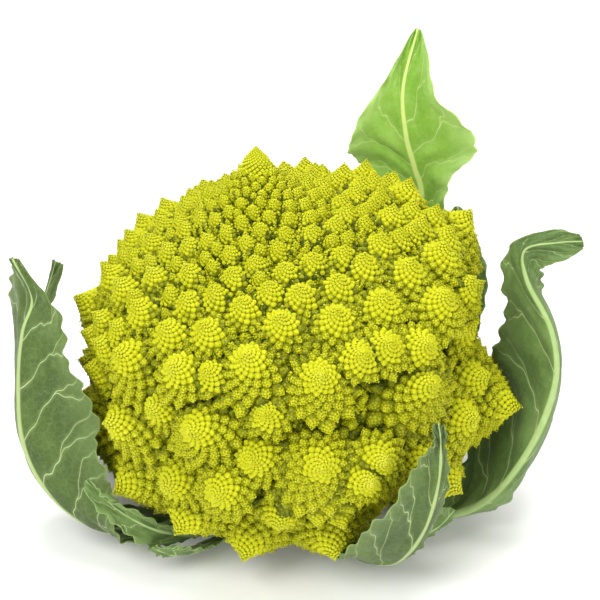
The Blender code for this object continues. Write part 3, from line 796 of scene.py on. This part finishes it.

# %% [markdown]
# ## Colour of the curd
# The curd is waxy and a little see-through, so light softens in it. Colour runs from dark
# olive shade painted into the clefts to clear yellow-green on the flanks and pale yellow on the
# points, which is partly a painted highlight.

# %% Curd material
def curd_material():
    """Shade, flank and pale colours by height on the bead times openness of its cleft; the shade colour is
    painted shade at bead feet and in clefts.

    Paleness is 0.30 height + noise + tipward, times openness, which paints a highlight on bead tops. The
    grain is a fine cell pattern that dents the wax by 0.7 mm times its own height.
    """
    n = Nodes("curd_yellow_green")
    # Painted shade colour for clefts and bead feet; the pale colour is partly a painted highlight
    shade_colour, flank = (0.042, 0.062, 0.001, 1), (0.445, 0.455, 0.006, 1)
    pale_highlight, stem = (0.72, 0.715, 0.12, 1), (0.50, 0.56, 0.22, 1)
    height, cleft_shading = n.stored("height"), n.stored("cleft_shading")
    tipward, under = n.stored("tipward"), n.stored("under")
    patch = n.noise(30.0, 3.0)
    grain = n.add("ShaderNodeTexVoronoi", {"Vector": n.object_place(), "Scale": 1150.0},
                  feature="SMOOTH_F1").outputs["Distance"]
    # Painted shade: darker at the foot of each bead and in the clefts
    shade = n.math("MULTIPLY", n.math("MULTIPLY_ADD", height, 0.40, 0.60), cleft_shading)
    body = n.mix(n.ease(shade, 0.0, 0.72), shade_colour, flank)
    # Painted highlight: paler on bead tops and towards tips, less so in the clefts
    lift = n.math("MULTIPLY_ADD", patch, 0.9, -0.45)
    level = n.math("ADD", n.math("MULTIPLY_ADD", height, 0.30, lift), tipward)
    level = n.math("MULTIPLY", level, cleft_shading)
    colour = n.mix(n.ease(level, 0.45, 1.35, 0.0, 0.9), body, pale_highlight)
    colour = n.mix(under, colour, stem)
    return n.set(Base_Color=colour, Roughness=n.ease(patch, 0.3, 0.7, 0.48, 0.60),
                 Subsurface_Weight=0.30, Subsurface_Radius=(1.0, 0.9, 0.2),
                 Subsurface_Scale=0.0015, Specular_IOR_Level=0.16,
                 Normal=n.bump(n.math("MULTIPLY", grain, -1.0), 0.0007, 0.8))


CURD_MATERIAL = curd_material()
print("curd material has", len(CURD_MATERIAL.node_tree.nodes), "nodes")

# %% [markdown]
# ## The curd in six pieces
# The curd is dressed in six sectors round the apex, so that no piece grows too heavy to handle.
# Each has its beads and, under them, the plain skin of its buds and florets. One single piece
# would look the same.

# %% The curd in pieces
BUD_CORE = ring_shape(((0, 1.0), (1.0, 0.0), (1.0, -0.6)), 8)
CORE_RINGS = ((0, 0), (0.94, -0.94), (0.95, -1.3), (0.6, -1.9))
FLORET_CORE = ring_shape(CORE_RINGS, 16)
SMALL_FLORET_CORE = ring_shape(CORE_RINGS, 10)
SMALL_FLORET_LIMIT = 0.012
SKIN_INSET = 0.0002
SKIN_INSET_SHARE = 0.012
RIM_LEVEL = -0.95
# Painted shade on the skin between beads, darker still on the stems under the florets' rims
SKIN_SHADE = 0.15
SKIN_CLEFT_SHADING = 0.55
STEM_CLEFT_SHADING = 0.10


def finish_curd(name, parts):
    """One piece of the curd from (points, faces, height, cleft, tipward, under) parts."""
    starts = np.cumsum([0] + [len(part[0]) for part in parts[:-1]])
    points = np.vstack([part[0] for part in parts])
    faces = np.vstack([part[1] + start for part, start in zip(parts, starts)])
    values = {}
    for place, label in enumerate(("height", "cleft_shading", "tipward", "under"), start=2):
        values[label] = np.concatenate([np.broadcast_to(part[place], len(part[0])) for part in parts])
    finish(add_mesh(name, points, faces, values), "curd", CURD_MATERIAL)


def bead_part(shape, chosen, foot_height):
    """All chosen beads stamped with one shape, whose stored height is foot_height to 1, for the shade
    painted at the foot and the highlight painted at the top.
    """
    b = {key: value[chosen] for key, value in bead_list.items()}
    rise = BEAD_HEIGHT + KNOB_HEIGHT * smooth(b["size"] / KNOB_STARTS_AT - 1) + CROWN_BEAD_LIFT * b["crown"]
    points, faces = stamp(shape, b["place"], b["normal"], b["size"] * BEAD_RADIUS,
                          b["size"] * rise)
    lowest = shape[0][:, 2].min()
    high = foot_height + (1 - foot_height) * smooth((shape[0][:, 2] - lowest) / (1 - lowest))
    repeat = len(shape[0])
    return (points, faces, np.tile(high, len(b["size"])), np.repeat(b["cleft_shading"], repeat),
            np.repeat(b["tipward"], repeat), 0.0)


def core_part(shape, tips, axes, widths):
    """The plain skin between beads: one cone under each bud or floret, painted dark as shade, and darker on
    the stem under its rim.
    """
    points, faces = stamp(shape, tips, axes, widths / 2, widths / 2 * COS_CONE / SIN_CONE)
    skin_shading_share = np.where(shape[0][:, 2] > RIM_LEVEL, SKIN_CLEFT_SHADING, STEM_CLEFT_SHADING)
    return points, faces, SKIN_SHADE, np.tile(skin_shading_share, len(tips)), 0.0, 0.0


def curd_piece(name, beads, buds, chosen):
    """Beads, bud skins and floret skins of one sector of the curd."""
    small = bead_list["size"] < SMALL_BEAD_LIMIT
    tips, axes, width = bud_tips[buds], wide_axes[buds], wide_sizes[buds] * BUD_WIDTH_SHARE
    foot = tips - axes * (width / 2 * COS_CONE / SIN_CONE + SKIN_INSET)[:, None]
    parts = [bead_part(BEAD, beads & ~small, 0.0), bead_part(SMALL_BEAD, beads & small, SMALL_BEAD_FOOT),
             core_part(BUD_CORE, foot, axes, width)]
    for shape, fitting in ((FLORET_CORE, full_widths >= SMALL_FLORET_LIMIT),
                           (SMALL_FLORET_CORE, full_widths < SMALL_FLORET_LIMIT)):
        tips, axes, width = (x[chosen & fitting] for x in (FLORET_TIPS, FLORET_AXES, full_widths))
        tips = tips - axes * (SKIN_INSET + SKIN_INSET_SHARE * width)[:, None]
        parts.append(core_part(shape, tips, axes, width))
    finish_curd(name, parts)


SECTORS = ("left_front", "front", "right_front", "right_back", "back", "left_back")


def sector(points):
    """Number of the sixth round the apex that each point is in."""
    turn = np.arctan2(points[:, 1] - APEX[1], points[:, 0] - APEX[0])
    return np.floor((turn / (2 * math.pi) + 0.5) * len(SECTORS)).astype(int) % len(SECTORS)


for number, label in enumerate(SECTORS):
    curd_piece("curd_" + label, sector(bead_list["place"]) == number,
               sector(bud_tips) == number, sector(FLORET_TIPS) == number)

# %% [markdown]
# ## The skin under the crown
# The crown's beads sit on a small cap. Further down the cap sinks under the youngest florets
# and closes the gaps between them. Body and cap show only in gaps, so both are painted dark as
# shade, except that on the body the branches towards the stalk are pale green.

# %% The body and the cap of the crown
# Painted shade on the body and on the cap of the crown, which show only in gaps
BODY_CLEFT_SHADING = 0.10
CAP_SHADE = 0.10
CAP_CLEFT_SHADING = 0.45
CAP_RINGS, CAP_SIDES = 36, 60
CAP_REACH = 0.036
CAP_UNDER_BEADS = 0.0001
CAP_UNDER_FLORETS = 0.50
STEM_SHOWS_FROM = math.cos(math.radians(118))
STEM_SHOWS_OVER = math.cos(math.radians(128))

ring_way, ring_turn = np.meshgrid(np.linspace(0, CAP_REACH, CAP_RINGS + 1)[1:],
                                  np.arange(CAP_SIDES) * 2 * math.pi / CAP_SIDES, indexing="ij")
cap_way = np.concatenate(((0.0,), ring_way.ravel()))
cap_points, cap_normals = on_dome(np.concatenate(((0.0,), ring_turn.ravel())), cap_way)
cap_deep = CAP_UNDER_FLORETS * np.interp(cap_way, WIDTH_WAYS, WIDTHS)
cap_deep = cap_deep * smooth((cap_way / KNOBS_FROM - 0.8) / 0.6) + sunk_rim(cap_way)
cap_points = cap_points - cap_normals * (cap_deep + CAP_UNDER_BEADS)[:, None]
cap_points = np.vstack((cap_points, cap_points[-CAP_SIDES:].mean(axis=0)))
under = smooth((STEM_SHOWS_FROM - body_directions[:, 2]) / (STEM_SHOWS_FROM - STEM_SHOWS_OVER))
finish_curd("curd_body", [
    (body_points, turned_faces(BODY_RINGS, BODY_SIDES), 0.0,
     BODY_CLEFT_SHADING + (1 - BODY_CLEFT_SHADING) * under, 0.0, under),
    (cap_points, turned_faces(CAP_RINGS, CAP_SIDES), CAP_SHADE, CAP_CLEFT_SHADING, 0.0, 0.0)])

# %% [markdown]
# ## The stalk
# Under the curd is the stump of the stem, cut square so that the head stands on it. It is a
# profile of radius against height turned round, with shallow ridges that run up into the
# branches. The knife leaves fibre rings on the cut face, which the material draws.

# %% Stalk
STALK_PROFILE_MM = ((0, 23.5), (1.5, 25), (8, 25), (16, 24.5), (22, 26), (27, 29), (29.7, 30.5))
STALK_TOP = STALK_PROFILE_MM[-1][0] * MM
STALK_SIDES = 90
BRANCHES = 7
BRANCH_SWELL = 0.04
BRANCHES_START = 0.016
CUT_RINGS, SIDE_RINGS, TOP_RINGS = 12, 29, 5


def stalk_radius(height):
    """Radius of the stalk's round part at a height."""
    heights, radii = np.array(STALK_PROFILE_MM).T * MM
    return np.interp(height, heights, radii)


def stalk_points():
    """Rings out over the cut face, up the side and in over the top, and each ring's share.

    The radius is the profile's, times 1 + BRANCH_SWELL * cos(7 turn) towards the top, times
    1 + 0.006 sin(11 turn) + 0.004 sin(29 turn + 60 height) for the ridges.
    """
    side = np.linspace(0.0, STALK_TOP, SIDE_RINGS + 1)[1:]
    level = np.concatenate((np.zeros(CUT_RINGS), side, np.full(TOP_RINGS, STALK_TOP)))[:, None]
    share = np.concatenate((np.linspace(0.08, 1, CUT_RINGS), np.ones(SIDE_RINGS),
                            np.linspace(0.9, 0.1, TOP_RINGS)))[:, None]
    turn = (np.arange(STALK_SIDES) * 2 * math.pi / STALK_SIDES)[None, :]
    swell = BRANCH_SWELL * smooth((level - BRANCHES_START) / (STALK_TOP - BRANCHES_START))
    ridges = 1 + 0.006 * np.sin(11 * turn) + 0.004 * np.sin(29 * turn + 60 * level)
    r = share * stalk_radius(level) * (1 + swell * np.cos(BRANCHES * turn)) * ridges
    rings = np.stack((r * np.cos(turn), r * np.sin(turn), level + 0 * r), -1).reshape(-1, 3)
    return np.vstack(((0, 0, 0), rings, (0, 0, STALK_TOP))), len(level)


# %% [markdown]
# ## Colour of the stalk
# The rind is pale green with upright streaks and a few dull patches. The cut face shows what
# the knife went through: pale pith, a whitish woody ring with fibres, and the green rind.

# %% Stalk material
def stalk_material():
    """Pale green rind with upright streaks, and a whitish cut face with fibre rings.

    The rings are the sine of 2600 times the distance from the axis in metres, wobbled by
    noise. Pith, woody ring and rind change at 16.5 to 18.5 mm and 21.2 to 23.2 mm.
    """
    n = Nodes("stalk_pale_green")
    place = n.add("ShaderNodeSeparateXYZ", {0: n.object_place()}).outputs
    radius = n.math("SQRT", n.math("ADD", n.math("MULTIPLY", place[0], place[0]),
                                   n.math("MULTIPLY", place[1], place[1])))
    stretched = n.add("ShaderNodeMapping", {"Vector": n.object_place(), "Scale": (420, 420, 25)})
    streaks = n.add("ShaderNodeTexNoise", {"Vector": stretched.outputs[0], "Scale": 1.0,
                                           "Detail": 3.0}).outputs["Fac"]
    rind = n.mix(n.ease(streaks, 0.35, 0.65), (0.34, 0.44, 0.15, 1), (0.56, 0.64, 0.32, 1))
    rind = n.mix(n.ease(n.noise(55.0, 3.0), 0.55, 0.75, 0.0, 0.5), rind, (0.66, 0.66, 0.45, 1))
    wobble = n.math("MULTIPLY", n.noise(160.0, 2.0), 0.004)
    rings = n.math("SINE", n.math("MULTIPLY", n.math("ADD", radius, wobble), 2600.0))
    cut = n.mix(n.ease(rings, -0.6, 0.9), (0.62, 0.66, 0.42, 1), (0.74, 0.76, 0.56, 1))
    cut = n.mix(n.ease(radius, 0.0165, 0.0185), cut, (0.80, 0.80, 0.62, 1))
    cut = n.mix(n.ease(radius, 0.0212, 0.0232), cut, (0.44, 0.53, 0.22, 1))
    on_cut = n.ease(place[2], 0.0002, 0.0006, 1.0, 0.0)
    height = n.math("ADD", streaks, n.math("MULTIPLY", rings, 0.15))
    return n.set(Base_Color=n.mix(on_cut, rind, cut), Roughness=n.ease(streaks, 0.3, 0.7, 0.45, 0.62),
                 Subsurface_Weight=0.15, Subsurface_Radius=(0.8, 1.0, 0.4), Subsurface_Scale=0.002,
                 Normal=n.bump(height, 0.0004, 0.6))


points, rings = stalk_points()
faces = outward(points, turned_faces(rings, STALK_SIDES))
finish(add_mesh("stalk_stump", points, faces), "stalk", stalk_material())

# %% [markdown]
# ## The leaves
# The leaves left on the head are cupped round it like hands. Each one is a thin blade on a
# strong midrib, folded along the rib, with lobes and small teeth along its margins. Three
# curves give its shape: the midrib, the margin that faces the front and the margin folded
# away behind. A flat sheet could be bent into place instead, but the curves put every edge
# just where it is on the real head.

# %% Where each leaf runs
# From the stalk to the tip, in mm. The side is 1 or -1, as the blade turns round its rib.
LEAVES = {
    "leaf_left": dict(
        rib=((-23, -12, 7), (-40, -26, 5), (-58, -38, 7), (-76, -43, 15), (-90, -43, 30),
             (-98, -39, 49), (-99, -32, 70), (-97, -26, 88), (-94, -18, 98), (-101, -12, 111)),
        front=((-21, -17, 9), (-43, -34, 7), (-59, -50, 12), (-65, -55, 23), (-65, -51, 37),
               (-69, -46, 52), (-73, -41, 68), (-79, -34, 82), (-86, -24, 96), (-99, -12, 111)),
        back=((-24, -6, 6), (-44, -13, 4), (-68, -20, 5), (-85, -16, 8), (-98, -12, 19),
              (-104, -6, 36), (-105, 2, 62), (-107, 3, 80), (-104, 0, 97), (-103, -10, 110)),
        side=1, rib_thickness=2.0, wave=1.6, waves=4.0, lobes=9),
    "leaf_right": dict(
        rib=((24, -9, 8), (42, -20, 5), (57, -29, 8), (69, -33, 15), (79, -36, 27),
             (90, -33, 47), (96, -28, 69), (94, -21, 86), (85, -14, 103), (84, -11, 114),
             (95, -13, 118), (104, -14, 119)),
        front=((22, -14, 10), (38, -21, 10), (53, -19, 14), (66, -12, 22), (72, -2, 32),
               (78, 5, 44), (77, 3, 57), (78, 1, 73), (78, -3, 92), (80, -6, 114),
               (93, -10, 122), (103, -12, 121)),
        back=((25, -3, 6), (46, -15, 3), (61, -22, 3), (72, -22, 5), (84, -24, 13),
              (97, -12, 30), (102, 4, 50), (101, 6, 72), (92, -4, 94), (90, -13, 107),
              (97, -16, 112), (104, -16, 117)),
        side=-1, rib_thickness=2.0, wave=1.6, waves=4.5, lobes=10),
    "leaf_front": dict(
        rib=((12, -23, 6), (18, -38, 4), (26, -53, 7), (37, -67, 17), (45, -78, 39),
             (49, -82, 62), (49, -85, 80), (48, -87, 90)),
        front=((8, -25, 9), (11, -43, 9), (15, -62, 16), (22, -79, 34), (32, -85, 55),
               (41, -85, 70), (46, -86, 82), (46, -87, 90)),
        back=((15, -20, 5), (27, -35, 3), (37, -44, 4), (46, -56, 14), (51, -68, 36),
              (53, -77, 60), (52, -82, 78), (50, -87, 89)),
        side=-1, rib_thickness=2.0, wave=1.3, waves=3.5, lobes=7),
    "leaf_front_rear": dict(
        rib=((17, -19, 7), (30, -34, 6), (43, -45, 10), (53, -47, 16), (60, -45, 23)),
        front=((15, -21, 9), (30, -38, 9), (42, -51, 19), (50, -52, 27), (58, -46, 25)),
        back=((19, -16, 6), (33, -29, 4), (47, -38, 6), (56, -43, 12), (61, -44, 21)),
        side=-1, rib_thickness=1.4, wave=1.2, waves=2.5, lobes=4),
    "leaf_back": dict(
        rib=((10, 23, 10), (22, 50, 12), (38, 78, 30), (49, 92, 58), (55, 93, 84),
             (51, 92, 100), (47, 91, 114), (45, 91, 135), (50, 92, 160)),
        front=((5, 25, 11), (8, 57, 16), (14, 93, 40), (24, 99, 64), (30, 97, 84),
               (26, 96, 98), (23, 92, 113), (36, 90, 137), (48, 92, 159)),
        back=((15, 20, 11), (35, 43, 14), (56, 66, 32), (63, 80, 56), (64, 82, 82),
              (67, 82, 98), (76, 82, 115), (58, 87, 136), (52, 92, 159)),
        side=-1, rib_thickness=2.4, wave=2.0, waves=3.5, lobes=8),
    "leaf_back_low": dict(
        rib=((20, 16, 8), (42, 34, 10), (66, 54, 34), (74, 64, 64), (68, 72, 90)),
        front=((17, 19, 9), (37, 39, 13), (58, 62, 38), (67, 71, 64), (65, 73, 88)),
        back=((22, 12, 8), (47, 27, 11), (73, 44, 34), (80, 55, 62), (72, 70, 88)),
        side=-1, rib_thickness=1.6, wave=1.2, waves=3.0, lobes=5),
    "leaf_left_rear": dict(
        rib=((-25, 5, 8), (-52, 10, 6), (-84, 18, 20), (-100, 24, 56), (-92, 24, 90)),
        front=((-25, 1, 9), (-54, 3, 8), (-84, 10, 24), (-97, 17, 58), (-89, 22, 90)),
        back=((-24, 9, 8), (-51, 18, 7), (-83, 28, 20), (-99, 31, 55), (-94, 26, 90)),
        side=1, rib_thickness=1.6, wave=1.0, waves=2.5, lobes=4),
    "leaf_low_left": dict(
        rib=((-17, -19, 9), (-33, -39, 8), (-47, -52, 18), (-61, -58, 31), (-74, -57, 45)),
        front=((-15, -22, 11), (-33, -42, 12), (-48, -55, 24), (-64, -60, 38), (-72, -58, 46)),
        back=((-20, -16, 7), (-34, -36, 5), (-48, -54, 13), (-62, -62, 26), (-74, -60, 43)),
        side=1, rib_thickness=1.2, wave=0.8, waves=2.5, lobes=4),
    "leaf_low_front": dict(
        rib=((-10, -24, 8), (-28, -41, 5), (-42, -54, 9), (-51, -60, 17)),
        front=((-7, -25, 9), (-24, -45, 9), (-37, -58, 15), (-49, -61, 18)),
        back=((-13, -22, 6), (-31, -38, 3), (-47, -50, 6), (-53, -59, 15)),
        side=1, rib_thickness=1.2, wave=0.8, waves=2.0, lobes=3),
}

print("leaves:", len(LEAVES))

# %% [markdown]
# ## The blade
# Across the blade runs a second number, from -1 at the back margin to 1 at the front margin.
# Any pair of numbers, along and across, gives one point of the blade, so a fine grid of pairs
# gives the whole leaf at once. The same pairs later place the veins.

# %% The blade as a surface
KEEL_ROUNDING = 0.22
TIP_FLATTENING = 0.9
LOBE_DEPTH = 0.06
TOOTH_DEPTH = 0.028
WAVE_SHIFT_ACROSS = 1.3
RUFFLE = 0.0009


def towards_tip(u):
    """0 along most of a leaf, rising to 1 over its last quarter."""
    return smooth(4 * u - 3)


def margin_reach(u, v, lobes):
    """How far the margin reaches: 1 less rounded lobes, |cos|^3, and small teeth, |sin|."""
    notch = np.abs(np.cos(math.pi * lobes * u)) ** 3
    teeth = 1 - np.abs(np.sin(math.pi * 3.4 * lobes * u + 2.0 * (v > 0) + 1.3 * np.sin(9 * u)))
    ends = smooth(4 * u) * smooth(6 * (1 - u))
    return 1 - (LOBE_DEPTH * notch * v ** 4 + TOOTH_DEPTH * teeth * v ** 12) * ends


def blade_points(leaf, u, v):
    """The middle of the blade at u along the midrib and v across.

    The point is rib + front * f + back * b. With bend = sqrt(v^2 + rounding^2), f is
    (bend + v - centred) / 2 and b is (bend - v - centred) / 2, so the blade is folded along
    its rib and rounded at the fold. Waves push the margins in and out.
    """
    rib = curve(np.array(leaf["rib"]) * MM, u)
    front = curve(np.array(leaf["front"]) * MM, u) - rib
    back = curve(np.array(leaf["back"]) * MM, u) - rib
    rounding = KEEL_ROUNDING + TIP_FLATTENING * towards_tip(u)
    bend = np.sqrt(v ** 2 + rounding ** 2)
    centred = rounding * (1 - v ** 2)
    to_front, to_back = (bend + v - centred) / 2, (bend - v - centred) / 2
    reach = margin_reach(u, v, leaf["lobes"])
    points = rib + (front * to_front[..., None] + back * to_back[..., None]) * reach[..., None]
    phase = 2 * math.pi * leaf["waves"] * u + WAVE_SHIFT_ACROSS * v
    ends = smooth(5 * u) * smooth(8 * (1 - u))
    wave = leaf["wave"] * MM * v ** 2 * np.sin(phase) * ends
    ruffle = RUFFLE * v ** 6 * np.sin(4.7 * phase + 2 * v) * ends
    return points + unit(points - CURD_CENTRE) * (wave + ruffle)[..., None]


# %% [markdown]
# ## Veins
# Side veins leave the midrib at even steps and rise towards the tip. They zigzag a little and
# fork half way out. Each one is where a slowly growing number passes a whole number, which a
# material can draw as a thin sharp line on a mesh that is much coarser than the line.

# %% Numbers for the veins
VEIN_SWEEP = 0.17
FORK_OPENING = 0.26


def vein_turns(u, v, veins):
    """The vein number: veins * (u - sweep * |v|^0.85), with a zigzag of two sines."""
    zigzag = 0.09 * np.sin(7 * v + 11 * u) + 0.07 * np.sin(23 * u - 9 * v) + 0.03 * np.sin(31 * v)
    return veins * (u - VEIN_SWEEP * np.abs(v) ** 0.85) + zigzag * smooth(5 * np.abs(v))


def vein_forks(u, v, veins):
    """How far the two arms of a fork are apart, in vein numbers; each vein forks at its own
    place, 0.24 to 0.60 of the way out."""
    number = np.round(vein_turns(u, v, veins) + 0.5 * (v > 0))
    start = 0.42 + 0.18 * np.sin(12.9898 * number + 4.1 * (v > 0))
    return FORK_OPENING * smooth((np.abs(v) - start) / 0.5)


# %% [markdown]
# ## A leaf with two sides
# A real blade has two sides and a thin edge, so each leaf is two sheets joined all round. The
# midrib swells on the inner side, and the blade is quilted between its veins.

# %% A leaf as a closed thin shell
BLADE_THICKNESS = 0.0009
MARGIN_THINNING = 0.65
TIP_THINNING = 0.4
RIB_LINE_TAPER = 0.86
RIB_SPREAD = 0.20
RIB_TAPER = 0.75
QUILT = 0.0006
GAP = 0.0003
CAD_STALK_SIDES = 42
LEAST_HEIGHT = 0.0005


def normals_of(points, side):
    """Directions square to the blade, on its outer side."""
    return side * unit(np.cross(np.gradient(points, axis=0), np.gradient(points, axis=1)))


def clear_of_stalk(points, first_row):
    """Push points out of the stalk, and set a leaf's first row right on its surface."""
    r = np.hypot(points[..., 0], points[..., 1])
    least = stalk_radius(points[..., 2]) * (1 + BRANCH_SWELL * 0.5) / math.cos(math.pi / CAD_STALK_SIDES)
    factor = np.where(first_row, (least + GAP) / r, np.maximum((least + GAP) / r, 1.0))
    points[..., :2] *= factor[..., None]
    points[..., 2] = np.maximum(points[..., 2], LEAST_HEIGHT)
    return points


def shell_faces(rows, columns):
    """Faces of two sheets, inner and outer, joined all round: a loop of columns with end caps."""
    sheet = rows * columns
    inner = grid_faces(rows, columns, False)
    outer = inner[:, ::-1] + sheet
    rim = np.concatenate((np.arange(columns), np.arange(1, rows) * columns + columns - 1,
                          (rows - 1) * columns + np.arange(columns - 2, -1, -1),
                          np.arange(rows - 2, 0, -1) * columns))
    after = np.roll(rim, -1)
    edge = np.vstack((np.stack((rim, after + sheet, after), 1),
                      np.stack((rim, rim + sheet, after + sheet), 1)))
    return np.vstack((inner, outer, edge[:, ::-1]))


def leaf_shell(leaf, rows, columns, veins, rib_width):
    """Points, faces and material values of one leaf.

    The inner side stands in by the midrib's swell, exp(-(v / spread)^2). The blade is
    thickest in the middle and thins as 1 - 0.65 |v|^6 to the margin. Between veins it is
    quilted by a cosine of the vein number.
    """
    u, v = np.meshgrid(np.linspace(0, 1, rows), np.linspace(-1, 1, columns), indexing="ij")
    middle = blade_points(leaf, u, v)
    out = normals_of(middle, leaf["side"])
    turns, forks = vein_turns(u, v, veins), vein_forks(u, v, veins)
    far = np.abs(v)
    quilt = QUILT * np.cos(2 * math.pi * (turns + 0.5 * (v > 0))) * smooth(4 * far) * smooth(5 - 5 * far)
    middle = middle + out * quilt[..., None]
    swell = leaf["rib_thickness"] * MM * (1 - RIB_TAPER * u) * np.exp(-(v / RIB_SPREAD) ** 2)
    thick = BLADE_THICKNESS * (1 - MARGIN_THINNING * far ** 6) * (1 - TIP_THINNING * towards_tip(u))
    inner = clear_of_stalk(middle - out * swell[..., None], u == 0)
    outer = clear_of_stalk(middle + out * thick[..., None], u == 0)
    points = np.vstack((inner.reshape(-1, 3), outer.reshape(-1, 3)))
    step = np.linalg.norm(np.diff(middle, axis=1), axis=2)
    arc = np.concatenate((np.zeros((rows, 1)), np.cumsum(step, axis=1)), axis=1)
    arc = np.abs(arc - arc[:, columns // 2][:, None])
    length = np.linalg.norm(np.diff(curve(np.array(leaf["rib"]) * MM, np.linspace(0, 1, 200)),
                                    axis=0), axis=1).sum()
    values = dict(across=v, vein_turn=turns, fork=forks, pitch=0 * u + length / veins / MM,
                  rib_off=arc / (rib_width * (1 - RIB_LINE_TAPER * u)))
    values = {label: np.tile(number.ravel(), 2) for label, number in values.items()}
    values["outer_side"] = np.repeat((0.0, 1.0), u.size)
    return points, outward(points, shell_faces(rows, columns)), values


# %% [markdown]
# ## Colour of the leaves
# The leaves are a dull grey-green with a waxy bloom that is thicker towards the margins. The
# midrib and the side veins are pale, and a fine net of small veins fills the spaces between
# them. The leaf behind the head is painted a clear bright green as a painted backlight, as if
# light shone through it from behind.

# %% Leaf material
def leaf_material(name, blade, shade, bloom, vein, rib):
    """Blade colours patched by noise, then the net, the side veins and the midrib over them.

    A side vein's distance is | |turn - nearest whole| - fork | times the pitch between veins
    in mm, set against a half-width that falls from 0.29 mm at the rib to 0.14 mm outside.
    """
    n = Nodes(name)
    across = n.stored("across")
    far = n.math("ABSOLUTE", across)
    turn = n.math("MULTIPLY_ADD", n.math("GREATER_THAN", across, 0.0), 0.5, n.stored("vein_turn"))
    off = n.math("ABSOLUTE", n.math("SUBTRACT", turn, n.math("ROUND", turn)))
    off = n.math("ABSOLUTE", n.math("SUBTRACT", off, n.stored("fork")))
    off = n.math("MULTIPLY", off, n.stored("pitch"))
    ratio = n.math("DIVIDE", off, n.math("MULTIPLY_ADD", far, -0.15, 0.29))
    line = n.ease(ratio, 0.5, 1.5, 1.0, 0.0)
    line = n.math("MULTIPLY", line, n.ease(far, 0.80, 1.0, 1.0, 0.25))
    glow = n.ease(ratio, 1.0, 8.0, 0.16, 0.0)
    cells = n.add("ShaderNodeTexVoronoi", {"Vector": n.object_place(), "Scale": 380.0},
                  feature="DISTANCE_TO_EDGE").outputs["Distance"]
    net = n.ease(cells, 0.01, 0.09, 1.0, 0.0)
    patches, cloud = n.noise(38.0, 4.0, 0.6), n.noise(420.0, 3.0)
    colour = n.mix(n.ease(patches, 0.32, 0.68), shade, blade)
    colour = n.mix(n.ease(far, 0.50, 1.0, 0.0, 0.55), colour, bloom)
    colour = n.mix(n.ease(cloud, 0.45, 0.8, 0.0, 0.30), colour, bloom)
    colour = n.mix(n.math("MULTIPLY", net, 0.07), colour, vein)
    colour = n.mix(n.math("MAXIMUM", line, glow), colour, vein)
    rib_line = n.ease(n.stored("rib_off"), 0.55, 1.25, 1.0, 0.0)
    streak = n.mix(n.ease(n.noise(260.0, 2.0), 0.4, 0.65, 0.0, 0.35), rib, vein)
    colour = n.mix(rib_line, colour, streak)
    colour = n.mix(n.ease(far, 0.965, 0.995, 0.0, 0.45), colour, rib)
    facing = n.math("MULTIPLY_ADD", n.stored("outer_side"), 2.0, -1.0)
    veined = n.math("MULTIPLY", n.math("MULTIPLY_ADD", net, 0.12, line), facing)
    height = n.math("ADD", veined, n.math("MULTIPLY", cloud, 0.35))
    return n.set(Base_Color=colour, Roughness=n.ease(patches, 0.3, 0.7, 0.50, 0.66),
                 Subsurface_Weight=0.12, Subsurface_Radius=(0.5, 1.0, 0.2),
                 Subsurface_Scale=0.0015, Specular_IOR_Level=0.22, Sheen_Weight=0.06,
                 Sheen_Roughness=0.5, Normal=n.bump(height, 0.0004, 0.6))


LEAF_GREY_GREEN = leaf_material("leaf_grey_green", (0.078, 0.126, 0.023, 1), (0.040, 0.073, 0.012, 1),
                                (0.128, 0.190, 0.054, 1), (0.33, 0.42, 0.18, 1),
                                (0.31, 0.41, 0.14, 1))
LEAF_DULL_GREEN = leaf_material("leaf_dull_green", (0.126, 0.206, 0.053, 1), (0.062, 0.112, 0.024, 1),
                                (0.148, 0.226, 0.070, 1), (0.36, 0.47, 0.20, 1),
                                (0.29, 0.40, 0.145, 1))
# Painted backlight: the leaf behind the head is brighter, as if lit through from behind
LEAF_BACKLIT_GREEN = leaf_material("leaf_painted_backlight_green", (0.285, 0.49, 0.078, 1), (0.185, 0.37, 0.036, 1),
                                  (0.39, 0.55, 0.19, 1), (0.53, 0.67, 0.25, 1),
                                  (0.60, 0.73, 0.22, 1))

# %% [markdown]
# ## The leaves themselves
# Each leaf gets one of three colourings, its number of veins, which is also the number of
# whole turns of the vein number from end to end, and the half-width of its midrib in metres.
# Large leaves have a finer grid than small ones.

# %% The leaves themselves
LARGE_LEAF_STATIONS = 7
LARGE_GRID = (120, 55)
SMALL_GRID = (60, 31)
LEAF_FINISH = {
    "leaf_left": (LEAF_GREY_GREEN, 10.0, 0.0031), "leaf_right": (LEAF_DULL_GREEN, 10.0, 0.0013),
    "leaf_front": (LEAF_GREY_GREEN, 7.0, 0.0019), "leaf_back": (LEAF_BACKLIT_GREEN, 9.0, 0.0030),
    "leaf_left_rear": (LEAF_GREY_GREEN, 6.0, 0.0012),
}
SMALL_LEAF_FINISH = (LEAF_DULL_GREEN, 5.0, 0.0016)
for node, leaf in LEAVES.items():
    large = len(leaf["rib"]) >= LARGE_LEAF_STATIONS
    material, veins, rib_width = LEAF_FINISH.get(node, SMALL_LEAF_FINISH)
    grid = LARGE_GRID if large else SMALL_GRID
    points, faces, values = leaf_shell(leaf, *grid, veins, rib_width)
    finish(add_mesh(node + "_blade", points, faces, values), node, material)
